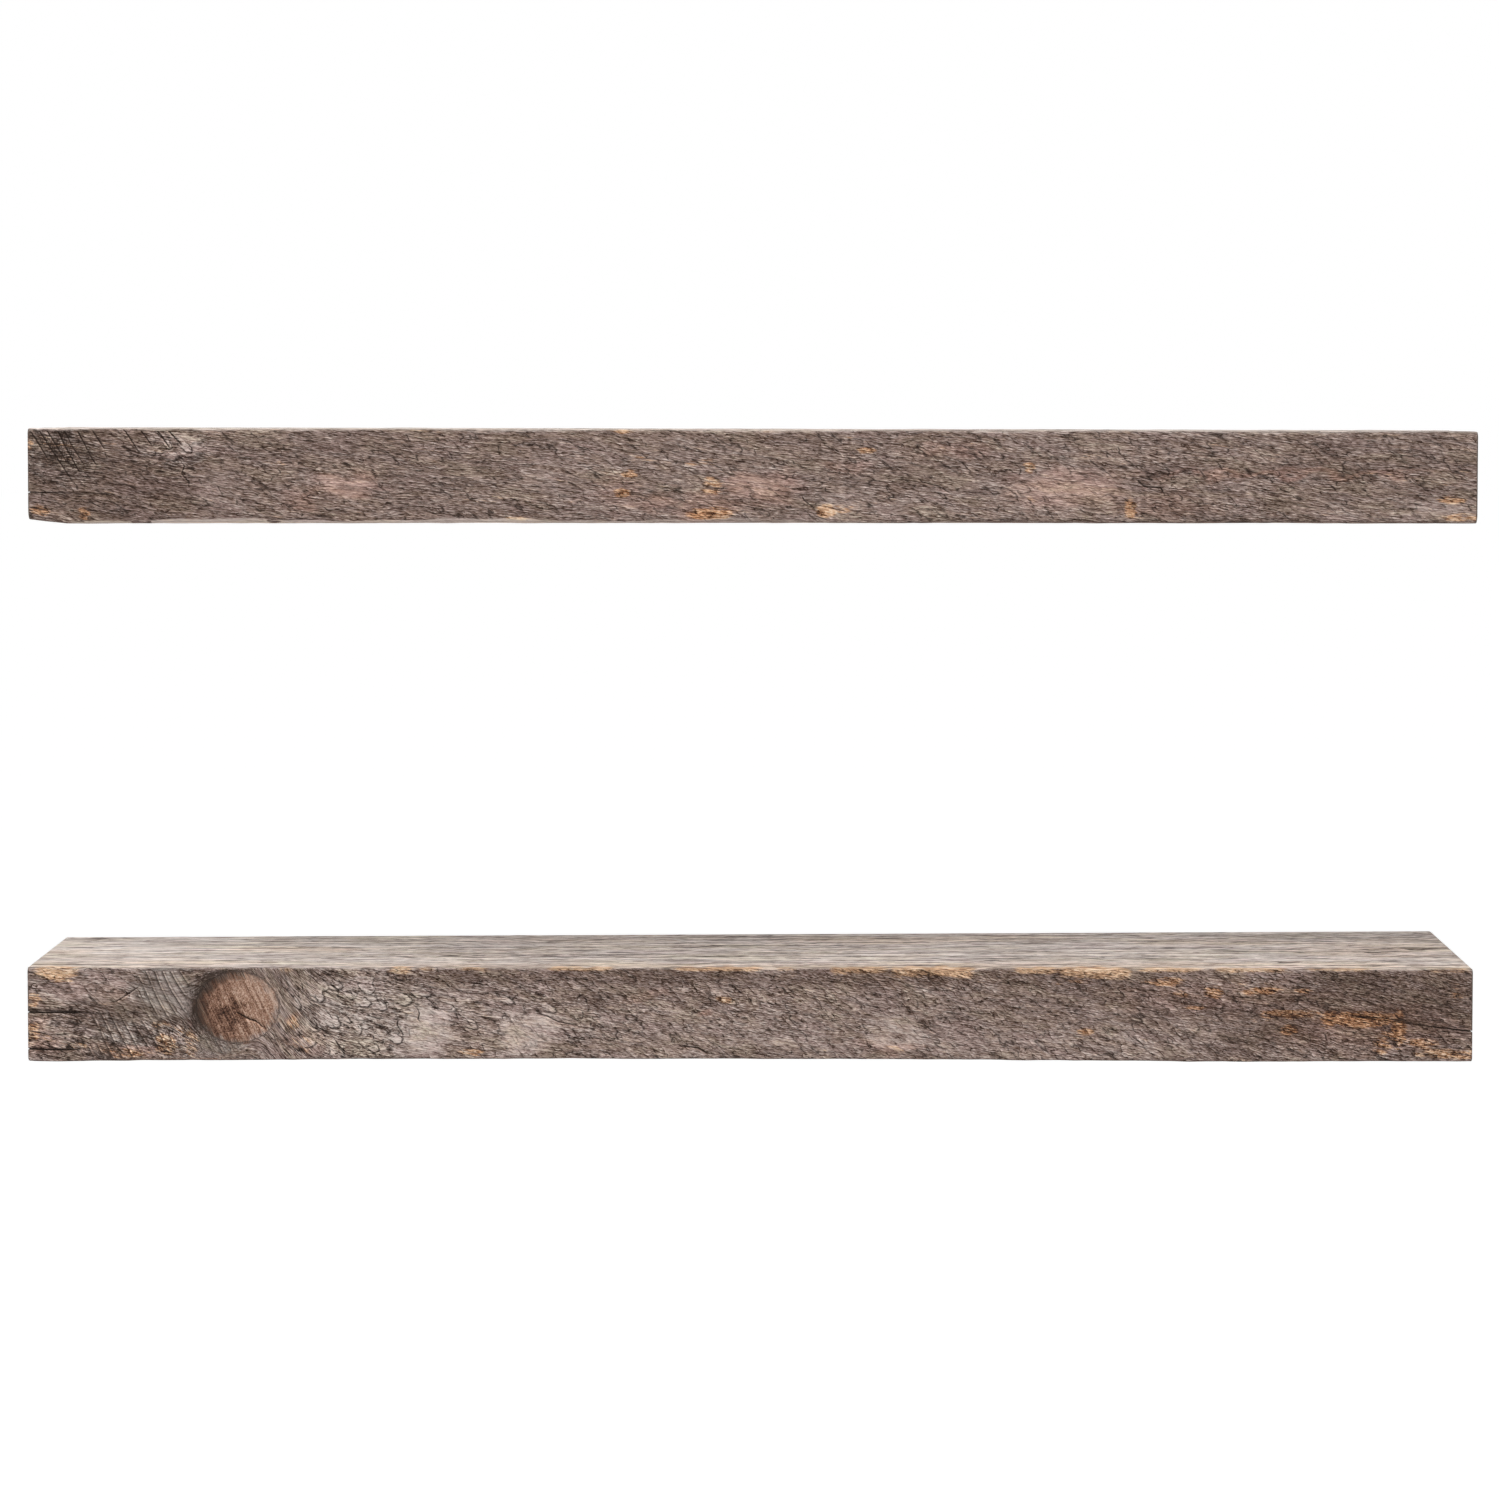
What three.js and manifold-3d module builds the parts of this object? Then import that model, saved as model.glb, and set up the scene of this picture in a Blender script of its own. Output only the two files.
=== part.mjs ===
// A pair of floating wall shelves: two short lengths of reclaimed softwood board, each hung on a hidden
// steel bracket. A bracket is a flat bar screwed to the wall, with three round rods welded to its front.
// The board has a channel routed in its back for the bar and three blind bores for the rods, so it slides
// on until its back meets the wall, and two set screws under it bear on the outer rods and lock it.
//
// Millimetres. X runs along the shelves, +Y into the wall, so the front faces look along -Y, and +Z is up.
// The origin is the middle of the lower bracket bar's back face, on the wall.
import * as THREE from "three";
import { mergeVertices } from "three/addons/utils/BufferGeometryUtils.js";
import Module from "manifold-3d";

const wasm = await Module();
wasm.setup();

// The pair on the wall.
const shelfPitch = 226.7; // from the lower shelf's middle to the upper one's
const upperSideShift = 1.1; // the upper shelf is fixed this far to the right of the lower one
const boardDepth = 139.7;

// Each board is its own piece of timber. wind lifts the back edge, taper thins the board from left to
// right, and skew is how far an end is out of square at the back. The crown hollows the underside, most at
// crownPlace along the board and fading out crownReach away, both shares of the length. The wane is a worn
// lower left corner.
const lowerBoard = {
  name: "lower",
  height: 0,
  sideShift: 0,
  length: 609.6,
  thickness: 40.2,
  windLeft: -1.3,
  windRight: 2.4,
  taper: 0.9,
  crown: 1.2,
  crownPlace: 0.4,
  crownReach: 0.4,
  skewLeft: 1.7,
  skewRight: 0,
  waneHeight: 0.4,
  waneRun: 9,
  endEase: 1,
  frontTopArris: 1.4,
  frontBottomArris: 1.2,
  backArris: 1.2,
  wearCycles: 7.3,
  wearPhase: 0.6,
};
const upperBoard = {
  name: "upper",
  height: shelfPitch,
  sideShift: upperSideShift,
  length: 607.8,
  thickness: 39.7,
  windLeft: 0,
  windRight: 0,
  taper: 1.4,
  crown: 0.2,
  crownPlace: 0.5,
  crownReach: 0.5,
  skewLeft: 0,
  skewRight: 0.8,
  waneHeight: 1.7,
  waneRun: 16,
  endEase: 1,
  frontTopArris: 1.5,
  frontBottomArris: 2.5,
  backArris: 1.2,
  wearCycles: 5.6,
  wearPhase: 2.4,
};
const wearShare = 0.34; // how much an arris's radius swells and shrinks along the board
const ripplesPerSwell = 3.7;
// How far along the eased end each section is, and how far in it is drawn there.
const endEaseShares = [[0, 1], [0.3, 0.3], [1, 0]];
const stationCount = 32;
const arcSteps = 4;

// Bites: short stretches of a board's front top arris that are worn or broken away further than the rest. A
// bite's middle is at placeShare of the length from the board's middle, where depth is added to the arris's
// radius.
const bites = [
  { board: "lower", placeShare: -0.472, span: 26, depth: 2.6 },
  { board: "lower", placeShare: 0.016, span: 24, depth: 1.9 },
  { board: "lower", placeShare: 0.143, span: 30, depth: 3.4 },
  { board: "lower", placeShare: 0.241, span: 22, depth: 2.2 },
  { board: "upper", placeShare: 0.281, span: 20, depth: 1.6 },
];
const biteStationShares = [-0.5, -0.3, -0.12, 0, 0.12, 0.3, 0.5];

// Drying checks: thin splits that run in from an end of a board on its front face. side is -1 at the left
// end and 1 at the right. A split starts at heightShare of the thickness from the board's middle height.
// Its run and rise are along and across the face, and its depth is into the board.
const checks = [
  { board: "lower", side: -1, heightShare: 0.03, run: 34, rise: -0.6, mouth: 0.6, depth: 9 },
  { board: "lower", side: -1, heightShare: -0.36, run: 22, rise: -0.5, mouth: 0.5, depth: 6 },
  { board: "lower", side: 1, heightShare: -0.18, run: 52, rise: 6.6, mouth: 0.6, depth: 8 },
  { board: "upper", side: -1, heightShare: -0.16, run: 44, rise: -0.9, mouth: 0.4, depth: 6 },
];

// The steel bracket.
const barLength = 508;
const barHeight = 25.4;
const barThickness = 6.35;
const barEdgeEase = 0.8;
const barSteps = 10; // along its length, so that the wall face has whole facets clear of the screw holes
const rodDiameter = 12.7;
const rodLength = 101.6;
const rodEndMargin = 50.8; // from the outer rods to the bar's ends
const rodNoseChamfer = 1.6;
const weldLeg = 2.2;
const rodNames = ["left", "centre", "right"];
const rodPitch = (barLength - 2 * rodEndMargin) / (rodNames.length - 1);

// What is cut in a board for its bracket.
const channelGap = 0.6; // round the bar in its channel
const boreGap = 0.4; // round a rod in its bore
const boreRun = 4; // how far a bore runs on past its rod's nose
const overrun = 1.5; // how far a cutting tool stands out of what it cuts

// The wall screws, with countersunk heads and a cross recess, and their nylon wall plugs. Two are near the
// bar's ends and two are midway between rods.
const screwEndMargin = 25.4;
const screwReach = barLength / 2 - screwEndMargin;
const screwPlaces = [-screwReach, -rodPitch / 2, rodPitch / 2, screwReach];
const screwLength = 50.8;
const screwDiameter = 4.2;
const screwHeadDiameter = 9.2;
const screwHeadRim = 0.4;
const screwPoint = 8;
const recessSpan = 4.6;
const recessWidth = 1.1;
const recessDepth = 2;
const plugDiameter = 8;
const plugLength = 38;
const plugCollar = 4;
const plugRibDepth = 0.7;
const plugRibCount = 4;
const plugNose = 3;
const plugSlit = 1;
const plugFinHeight = 1;
const plugFinThickness = 1.1;
const plugFinLength = 14;

// The set screws that lock a board on its rods, and the brass inserts they turn in.
const lockSetback = 46; // from the wall
const lockDiameter = 6;
const lockLength = 10;
const lockPoint = 1;
const lockSocketAcross = 3;
const lockSocketDepth = 3.5;
const insertDiameter = 10;
const insertLength = 8;
const insertGrooveDepth = 0.5;
const insertSlotWidth = 1.4;
const insertSlotDepth = 1.2;
const lockSides = { left: -1, right: 1 };

const fitGap = 0.3; // between pieces that seat on or in each other
const roundSides = 20;
const smallSides = 12;

const timber = new THREE.MeshStandardMaterial({ color: 0x7a6c64, roughness: 0.95, metalness: 0 });
const blackSteel = new THREE.MeshStandardMaterial({ color: 0x26272a, roughness: 0.5, metalness: 0.7 });
const zincSteel = new THREE.MeshStandardMaterial({ color: 0xb9b6a8, roughness: 0.35, metalness: 1 });
const greyNylon = new THREE.MeshStandardMaterial({ color: 0x8f9499, roughness: 0.6, metalness: 0 });
const brass = new THREE.MeshStandardMaterial({ color: 0xb08d3f, roughness: 0.35, metalness: 1 });

// Joining and cutting

function solidOf(geometry) {
  const bare = geometry.clone();
  for (const name of ["normal", "uv"]) bare.deleteAttribute(name);
  const merged = mergeVertices(bare);
  return new wasm.Manifold(
    new wasm.Mesh({
      numProp: 3,
      vertProperties: merged.attributes.position.array,
      triVerts: new Uint32Array(merged.index.array),
    }),
  );
}

function geometryOf(solid) {
  const mesh = solid.getMesh();
  const geometry = new THREE.BufferGeometry();
  geometry.setAttribute("position", new THREE.BufferAttribute(mesh.vertProperties, 3));
  geometry.setIndex(new THREE.BufferAttribute(mesh.triVerts, 1));
  return geometry;
}

function cutAway(geometry, tools) {
  const cut = tools.reduce((left, tool) => left.subtract(solidOf(tool)), solidOf(geometry));
  return geometryOf(cut);
}

function joined(geometries) {
  const whole = geometries.map(solidOf).reduce((sum, piece) => sum.add(piece));
  return geometryOf(whole);
}

function block(width, depth, height, x, y, z) {
  return new THREE.BoxGeometry(width, depth, height).translate(x, y, z);
}

// A turned piece round an axis along Y. Its outline is [radius, y] pairs in rising y, on the axis at both
// ends.
function turned(outline, sides) {
  return new THREE.LatheGeometry(
    outline.map(([radius, y]) => new THREE.Vector2(radius, y)),
    sides,
  );
}

function named(name, geometry, material) {
  const mesh = new THREE.Mesh(geometry, material);
  mesh.name = name;
  return mesh;
}

// A board

// The radius of an arris at a share of the length: a slow swell and a quicker ripple of wear.
function wornRadius(board, radius, share) {
  const turn = 2 * Math.PI;
  const swell = Math.sin(turn * (board.wearCycles * share + board.wearPhase));
  const ripple = Math.sin(turn * (board.wearCycles * ripplesPerSwell * share - board.wearPhase));
  return radius * (1 + wearShare * (swell + ripple / 2));
}

function bitesOf(board) {
  return bites.filter((bite) => bite.board === board.name);
}

// How much the bites add to the front top arris's radius at a distance from the left end.
function biteDepth(board, fromLeft) {
  const place = fromLeft - board.length / 2;
  return bitesOf(board).reduce((sum, bite) => {
    const away = Math.abs(place - bite.placeShare * board.length) / bite.span;
    return away < 0.5 ? sum + bite.depth * Math.cos(Math.PI * away) ** 2 : sum;
  }, 0);
}

// The heights of the board's top and underside at a share of its length, at its front (0) or back (1).
function faceHeights(board, share, backShare, fromLeft) {
  const wind = backShare * THREE.MathUtils.lerp(board.windLeft, board.windRight, share);
  const crown = board.crown * Math.max(0, 1 - ((share - board.crownPlace) / board.crownReach) ** 2);
  const wane = board.waneHeight * Math.max(0, 1 - fromLeft / board.waneRun);
  return {
    top: board.thickness / 2 + board.taper * (0.5 - share) + wind,
    bottom: -board.thickness / 2 + crown + wane + wind,
  };
}

// One cross-section of a board as [y, z] points, going round from the front's lower arris, up and over the
// top.
function boardSection(board, share, fromLeft, inset) {
  const front = faceHeights(board, share, 0, fromLeft);
  const back = faceHeights(board, share, 1, fromLeft);
  const topRadius = wornRadius(board, board.frontTopArris, share) + biteDepth(board, fromLeft);
  const bottomRadius = wornRadius(board, board.frontBottomArris, 1 - share);
  const frontY = -boardDepth + inset;
  const corners = [
    { y: frontY, z: front.bottom + inset, radius: bottomRadius, ySide: 1, zSide: 1, steps: arcSteps },
    { y: frontY, z: front.top - inset, radius: topRadius, ySide: 1, zSide: -1, steps: arcSteps },
    { y: 0, z: back.top - inset, radius: board.backArris, ySide: -1, zSide: -1, steps: arcSteps / 2 },
    { y: 0, z: back.bottom + inset, radius: board.backArris, ySide: -1, zSide: 1, steps: arcSteps / 2 },
  ];
  return corners.flatMap(({ y, z, radius, ySide, zSide, steps }) => {
    const arc = [];
    for (let step = 0; step <= steps; step += 1) {
      // From the upright side to the level one where the corner starts at the foot, and back where it
      // doesn't.
      const rising = ySide * zSide < 0;
      const angle = ((rising ? step : steps - step) / steps) * (Math.PI / 2);
      arc.push([
        y + ySide * radius * (1 - Math.cos(angle)),
        z + zSide * radius * (1 - Math.sin(angle)),
      ]);
    }
    return arc;
  });
}

// Where a board's sections are, from its left end: even steps with more at each bite, and the eased ends.
// Two sections closer than a tenth of a step would only make slivers, so the second of them is left out.
function boardStations(board) {
  const step = board.length / stationCount;
  const places = [];
  for (let station = 1; station < stationCount; station += 1) places.push(station * step);
  for (const bite of bitesOf(board)) {
    const middle = (0.5 + bite.placeShare) * board.length;
    for (const share of biteStationShares) places.push(middle + share * bite.span);
  }
  const inner = places
    .filter((place) => place > 2 * board.endEase && place < board.length - 2 * board.endEase)
    .sort((a, b) => a - b)
    .filter((place, index, sorted) => index === 0 || place - sorted[index - 1] > step / 10);
  const ends = endEaseShares.map(([along, inset]) => ({
    fromLeft: along * board.endEase,
    inset: inset * board.endEase,
  }));
  return [
    ...ends,
    ...inner.map((fromLeft) => ({ fromLeft, inset: 0 })),
    ...ends.toReversed().map(({ fromLeft, inset }) => ({ fromLeft: board.length - fromLeft, inset })),
  ];
}

// The timber before anything is cut in it: sections lofted from the left end to the right one.
function roughBoard(board) {
  const stations = boardStations(board);
  const points = [];
  let ring = 0;
  for (const { fromLeft, inset } of stations) {
    const share = fromLeft / board.length;
    const section = boardSection(board, share, fromLeft, inset);
    ring = section.length;
    for (const [y, z] of section) {
      const backShare = 1 + y / boardDepth;
      const skew = THREE.MathUtils.lerp(-board.skewLeft, board.skewRight, share) * backShare;
      points.push(fromLeft - board.length / 2 + skew, y, z);
    }
  }

  const faces = [];
  for (let station = 0; station < stations.length - 1; station += 1) {
    for (let step = 0; step < ring; step += 1) {
      const a = station * ring + step;
      const b = station * ring + ((step + 1) % ring);
      faces.push(a, a + ring, b, b, a + ring, b + ring);
    }
  }
  const last = (stations.length - 1) * ring;
  for (let step = 1; step < ring - 1; step += 1) {
    faces.push(0, step, step + 1);
    faces.push(last, last + step + 1, last + step);
  }
  const geometry = new THREE.BufferGeometry();
  geometry.setAttribute("position", new THREE.Float32BufferAttribute(points, 3));
  geometry.setIndex(faces);
  return geometry;
}

// A split at an end of the front face: a wedge that is widest and deepest at the end and closes to nothing.
function endCheck(board, { side, heightShare, run, rise, mouth, depth }) {
  const wedge = new THREE.Shape([
    new THREE.Vector2(-overrun, -mouth / 2),
    new THREE.Vector2(run, -side * rise),
    new THREE.Vector2(-overrun, mouth / 2),
  ]);
  const blade = new THREE.ExtrudeGeometry(wedge, { depth: depth + overrun, bevelEnabled: false });
  // The blade is drawn running right and extruded up, so it is stood on the face. For the right end it is
  // turned round to run in from there, which also turns its rise over, so that was drawn the other way.
  blade.rotateX(Math.PI / 2);
  if (side > 0) blade.rotateY(Math.PI);
  return blade.translate(side * (board.length / 2), depth - boardDepth, heightShare * board.thickness);
}

function bracketChannel() {
  const depth = barThickness + channelGap;
  return block(
    barLength + 2 * channelGap,
    depth + overrun,
    barHeight + 2 * channelGap,
    0,
    (overrun - depth) / 2,
    0,
  );
}

// A blind bore for a rod, with its mouth opened out to clear the weld.
function rodBore(place) {
  const radius = rodDiameter / 2 + boreGap;
  const mouth = -barThickness;
  const end = mouth - rodLength - boreRun;
  return turned(
    [
      [0, end],
      [radius, end],
      [radius, mouth - weldLeg - boreGap],
      [radius + weldLeg + overrun, mouth + overrun - boreGap],
      [0, mouth + overrun - boreGap],
    ],
    roundSides,
  ).translate(place, 0, 0);
}

// The hole for a threaded insert, from under the board, and its pilot up to the rod's bore.
function insertHole(board, place) {
  const underside = lockHeights(board).underside;
  const seat = underside + insertLength;
  const radius = insertDiameter / 2 + fitGap;
  const pilot = lockDiameter / 2 + fitGap;
  return turned(
    [
      [0, underside - overrun],
      [radius, underside - overrun],
      [radius, seat],
      [pilot, seat],
      [pilot, 0],
      [0, 0],
    ],
    smallSides,
  )
    .rotateX(Math.PI / 2)
    .translate(place, -lockSetback, 0);
}

// Where the underside and the rod's lowest line are above a lock screw.
function lockHeights(board) {
  const share = 0.5 + lockSides.left * (rodPitch / board.length);
  const backShare = 1 - lockSetback / boardDepth;
  const left = faceHeights(board, share, backShare, board.length * share);
  const right = faceHeights(board, 1 - share, backShare, board.length * (1 - share));
  return { underside: Math.max(left.bottom, right.bottom), rod: -rodDiameter / 2 };
}

function shelfBoard(board) {
  const tools = [bracketChannel()];
  rodNames.forEach((_, index) => tools.push(rodBore(rodPlace(index))));
  for (const side of Object.values(lockSides)) tools.push(insertHole(board, side * rodPitch));
  for (const check of checks) {
    if (check.board === board.name) tools.push(endCheck(board, check));
  }
  return cutAway(roughBoard(board), tools);
}

// The bracket

function rodPlace(index) {
  return (index - (rodNames.length - 1) / 2) * rodPitch;
}

// A flat bar with eased long edges and a countersunk hole for each wall screw.
function bracketBar() {
  const halfHeight = barHeight / 2;
  const outline = new THREE.Shape([
    new THREE.Vector2(0, -halfHeight + barEdgeEase),
    new THREE.Vector2(0, halfHeight - barEdgeEase),
    new THREE.Vector2(-barEdgeEase, halfHeight),
    new THREE.Vector2(barEdgeEase - barThickness, halfHeight),
    new THREE.Vector2(-barThickness, halfHeight - barEdgeEase),
    new THREE.Vector2(-barThickness, barEdgeEase - halfHeight),
    new THREE.Vector2(barEdgeEase - barThickness, -halfHeight),
    new THREE.Vector2(-barEdgeEase, -halfHeight),
  ]);
  // Drawn in X and Y and extruded along Z, then turned so that its length lies along X and its outline's Y
  // is up.
  const bar = new THREE.ExtrudeGeometry(outline, { depth: barLength, steps: barSteps, bevelEnabled: false });
  bar.applyMatrix4(
    new THREE.Matrix4().makeBasis(
      new THREE.Vector3(0, 1, 0),
      new THREE.Vector3(0, 0, 1),
      new THREE.Vector3(1, 0, 0),
    ),
  );
  bar.translate(-barLength / 2, 0, 0);
  const shank = screwDiameter / 2 + fitGap;
  const head = screwHeadDiameter / 2 + fitGap;
  const sink = head - shank;
  const holes = screwPlaces.map((place) =>
    turned(
      [
        [0, -barThickness - overrun],
        [head, -barThickness - overrun],
        [head, screwHeadRim - barThickness],
        [shank, screwHeadRim + sink - barThickness],
        [shank, overrun],
        [0, overrun],
      ],
      smallSides,
    ).translate(place, 0, 0),
  );
  return cutAway(bar, holes);
}

// A rod with a chamfered nose and, at its foot on the bar, the fillet of its weld.
function supportRod(place) {
  const radius = rodDiameter / 2;
  const foot = -barThickness;
  const nose = foot - rodLength;
  return turned(
    [
      [0, nose],
      [radius - rodNoseChamfer, nose],
      [radius, nose + rodNoseChamfer],
      [radius, foot - weldLeg],
      [radius + weldLeg, foot],
      [0, foot],
    ],
    roundSides,
  ).translate(place, 0, 0);
}

// The fasteners

function wallScrew(place) {
  const shank = screwDiameter / 2;
  const head = screwHeadDiameter / 2;
  const face = -barThickness;
  const tip = face + screwLength;
  const screw = turned(
    [
      [0, face],
      [head, face],
      [head, face + screwHeadRim],
      [shank, face + screwHeadRim + head - shank],
      [shank, tip - screwPoint],
      [0, tip],
    ],
    smallSides,
  );
  const recessFloor = face - overrun / 2 + recessDepth / 2;
  const cross = [
    block(recessSpan, recessDepth + overrun, recessWidth, 0, recessFloor, 0),
    block(recessWidth, recessDepth + overrun, recessSpan, 0, recessFloor, 0),
  ];
  return cutAway(screw, cross).translate(place, 0, 0);
}

// A ribbed plug with a collar at the wall's face, a bore for its screw, two fins that stop it turning, and
// a slit from its nose that lets it spread.
function wallPlug(place) {
  const radius = plugDiameter / 2;
  const mouth = fitGap;
  const end = mouth + plugLength;
  const ribRun = (plugLength - plugCollar - plugNose) / plugRibCount;
  const outline = [
    [0, mouth],
    [radius, mouth],
    [radius, mouth + plugCollar],
  ];
  for (let rib = 0; rib < plugRibCount; rib += 1) {
    const root = mouth + plugCollar + rib * ribRun;
    outline.push([radius - plugRibDepth, root + ribRun / 3], [radius, root + ribRun]);
  }
  outline.push([radius - 2 * plugRibDepth, end], [0, end]);
  const finMiddle = mouth + plugFinLength / 2;
  const finSpan = plugDiameter + 2 * plugFinHeight;
  const body = joined([
    turned(outline, smallSides),
    block(finSpan, plugFinLength, plugFinThickness, 0, finMiddle, 0),
  ]);
  const bore = screwDiameter / 2 + fitGap;
  const slitLength = plugLength - plugFinLength;
  return cutAway(body, [
    turned(
      [
        [0, mouth - overrun],
        [bore, mouth - overrun],
        [bore, end + overrun],
        [0, end + overrun],
      ],
      smallSides,
    ),
    block(plugSlit, slitLength + overrun, plugDiameter + overrun, 0, end + (overrun - slitLength) / 2, 0),
  ]).translate(place, 0, 0);
}

// A brass insert, level with the underside, with a grooved outside and a driver slot across its foot.
function threadedInsert(board, place) {
  const radius = insertDiameter / 2;
  const foot = lockHeights(board).underside;
  const top = foot + insertLength - fitGap;
  const groove = (top - foot) / 5;
  const ring = turned(
    [
      [0, foot],
      [radius, foot],
      [radius, foot + groove],
      [radius - insertGrooveDepth, foot + 2 * groove],
      [radius, foot + 3 * groove],
      [radius - insertGrooveDepth, foot + 4 * groove],
      [radius - insertGrooveDepth, top],
      [0, top],
    ],
    smallSides,
  );
  const bore = lockDiameter / 2 + fitGap;
  const thread = turned(
    [
      [0, foot - overrun],
      [bore, foot - overrun],
      [bore, top + overrun],
      [0, top + overrun],
    ],
    smallSides,
  );
  const slot = block(
    insertDiameter + overrun,
    insertSlotDepth + overrun,
    insertSlotWidth,
    0,
    foot + (insertSlotDepth - overrun) / 2,
    0,
  );
  return cutAway(ring, [thread, slot])
    .rotateX(Math.PI / 2)
    .translate(place, -lockSetback, 0);
}

// A set screw with a blunt point just under the rod and a hexagon socket in its foot.
function lockScrew(board, place) {
  const radius = lockDiameter / 2;
  const point = lockHeights(board).rod - fitGap;
  const foot = point - lockLength;
  const screw = turned(
    [
      [0, foot],
      [radius - lockPoint / 2, foot],
      [radius, foot + lockPoint / 2],
      [radius, point - lockPoint],
      [radius - lockPoint, point],
      [0, point],
    ],
    smallSides,
  );
  const socketRadius = lockSocketAcross / 2 / Math.cos(Math.PI / 6);
  const socket = new THREE.CylinderGeometry(
    socketRadius,
    socketRadius,
    lockSocketDepth + overrun,
    6,
  ).translate(0, foot + (lockSocketDepth - overrun) / 2, 0);
  return cutAway(screw, [socket])
    .rotateX(Math.PI / 2)
    .translate(place, -lockSetback, 0);
}

// One shelf with all its pieces, at its place on the wall.
function shelf(board) {
  const group = new THREE.Group();
  group.add(named(`${board.name}_shelf_board`, shelfBoard(board), timber));
  group.add(named(`${board.name}_bracket_bar`, bracketBar(), blackSteel));
  rodNames.forEach((name, index) => {
    group.add(named(`${board.name}_rod_${name}`, supportRod(rodPlace(index)), blackSteel));
  });
  screwPlaces.forEach((place, index) => {
    group.add(named(`${board.name}_wall_screw_${index + 1}`, wallScrew(place), zincSteel));
    group.add(named(`${board.name}_wall_plug_${index + 1}`, wallPlug(place), greyNylon));
  });
  for (const [name, side] of Object.entries(lockSides)) {
    group.add(named(`${board.name}_thread_insert_${name}`, threadedInsert(board, side * rodPitch), brass));
    group.add(named(`${board.name}_lock_screw_${name}`, lockScrew(board, side * rodPitch), zincSteel));
  }
  group.position.set(board.sideShift, 0, board.height);
  return group;
}

const shelves = new THREE.Group();
shelves.add(shelf(lowerBoard), shelf(upperBoard));

export default shelves;
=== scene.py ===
# %% [markdown]
# # A pair of floating shelves in weathered timber
#
# Two short, thick boards of old softwood hang one above the other. Nothing holds them that can be seen
# from the room: a steel bar with three rods is screwed to the wall, and each board slides on to its rods.
# The frame already holds every piece at its real size and place. This lesson gives the boards their worn
# and weathered skin and every piece its finish.

import math
from types import SimpleNamespace

import bmesh
import bpy
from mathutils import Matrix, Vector, noise


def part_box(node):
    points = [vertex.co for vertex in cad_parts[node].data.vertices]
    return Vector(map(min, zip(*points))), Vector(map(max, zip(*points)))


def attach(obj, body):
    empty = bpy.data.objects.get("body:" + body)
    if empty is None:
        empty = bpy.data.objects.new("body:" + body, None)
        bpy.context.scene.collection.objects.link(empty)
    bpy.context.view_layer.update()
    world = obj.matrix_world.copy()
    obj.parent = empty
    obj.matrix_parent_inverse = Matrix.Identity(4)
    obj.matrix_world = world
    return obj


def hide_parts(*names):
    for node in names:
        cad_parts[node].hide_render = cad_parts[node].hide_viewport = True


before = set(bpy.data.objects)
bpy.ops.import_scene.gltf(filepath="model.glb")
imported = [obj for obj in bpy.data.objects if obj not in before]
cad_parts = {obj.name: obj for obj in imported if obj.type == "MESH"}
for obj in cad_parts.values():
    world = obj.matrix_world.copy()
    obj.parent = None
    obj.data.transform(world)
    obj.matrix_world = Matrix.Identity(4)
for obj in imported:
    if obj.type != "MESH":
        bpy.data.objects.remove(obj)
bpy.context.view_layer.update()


def add_object(name, data):
    made = bpy.data.objects.new(name, data)
    bpy.context.scene.collection.objects.link(made)
    return made


def mesh_of(bm, name):
    """A bmesh's shape as a mesh with this name. The bmesh itself is used up."""
    mesh = bpy.data.meshes.new(name)
    bm.to_mesh(mesh)
    bm.free()
    return mesh


# %% [markdown]
# ## The camera
#
# The photograph looks at the pair from a little above the upper shelf with a long lens, so the upper shelf
# shows only its front and the lower one shows a narrow strip of its top. The camera's place is given from
# the middle of the lower board's front face, in metres, and its tilt in degrees below level.

# %% Place the camera
LENS = 127.2  # millimetres, on a sensor 36 mm wide
CAMERA_AWAY = 2.222
CAMERA_UP = 0.2553
CAMERA_SIDE = -0.0003
CAMERA_TILT = 3.684


def place_camera():
    data = bpy.data.cameras.new("photo_camera")
    data.lens = LENS
    data.sensor_width = 36
    camera = add_object("photo_camera", data)
    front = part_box("lower_shelf_board")[0].y
    camera.location = (CAMERA_SIDE, front - CAMERA_AWAY, CAMERA_UP)
    camera.rotation_euler = (math.radians(90 - CAMERA_TILT), 0, 0)
    bpy.context.scene.camera = camera
    return camera


camera = place_camera()
bpy.context.scene.view_settings.view_transform = "Standard"
print("camera at", [round(value, 3) for value in camera.location])

# %% [markdown]
# ## Helpers for building a material in nodes
#
# A material is a graph. Here each output of a node is a Value, and a sum of Values adds the nodes that
# work it out, so a graph can be read as a formula. The smaller helpers make the nodes that sums can't:
# noise, ramps and mixes.

# %% Node helpers


class Value:
    """A number, a colour or a place that a node gives. Sums on it add nodes, so a graph reads as sums."""

    def __init__(self, tree, socket):
        self.tree = tree
        self.socket = socket

    def __add__(self, other):
        return maths("ADD", self, other)

    def __sub__(self, other):
        return maths("SUBTRACT", self, other)

    def __rsub__(self, other):
        return maths("SUBTRACT", other, self)

    def __mul__(self, other):
        return maths("MULTIPLY", self, other)

    def __truediv__(self, other):
        return maths("DIVIDE", self, other)

    __radd__ = __add__
    __rmul__ = __mul__


def add_node(tree, kind, inputs=None, **fields):
    """A new node with its fields set. An input that is a Value is linked, and any other is written in."""
    node = tree.nodes.new("ShaderNode" + kind)
    for field, value in fields.items():
        setattr(node, field, value)
    for key, value in (inputs or {}).items():
        if isinstance(value, Value):
            tree.links.new(value.socket, node.inputs[key])
        else:
            node.inputs[key].default_value = value
    return node


def take(tree, kind, output, inputs=None, **fields):
    """One output of a new node."""
    return Value(tree, add_node(tree, kind, inputs, **fields).outputs[output])


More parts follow.
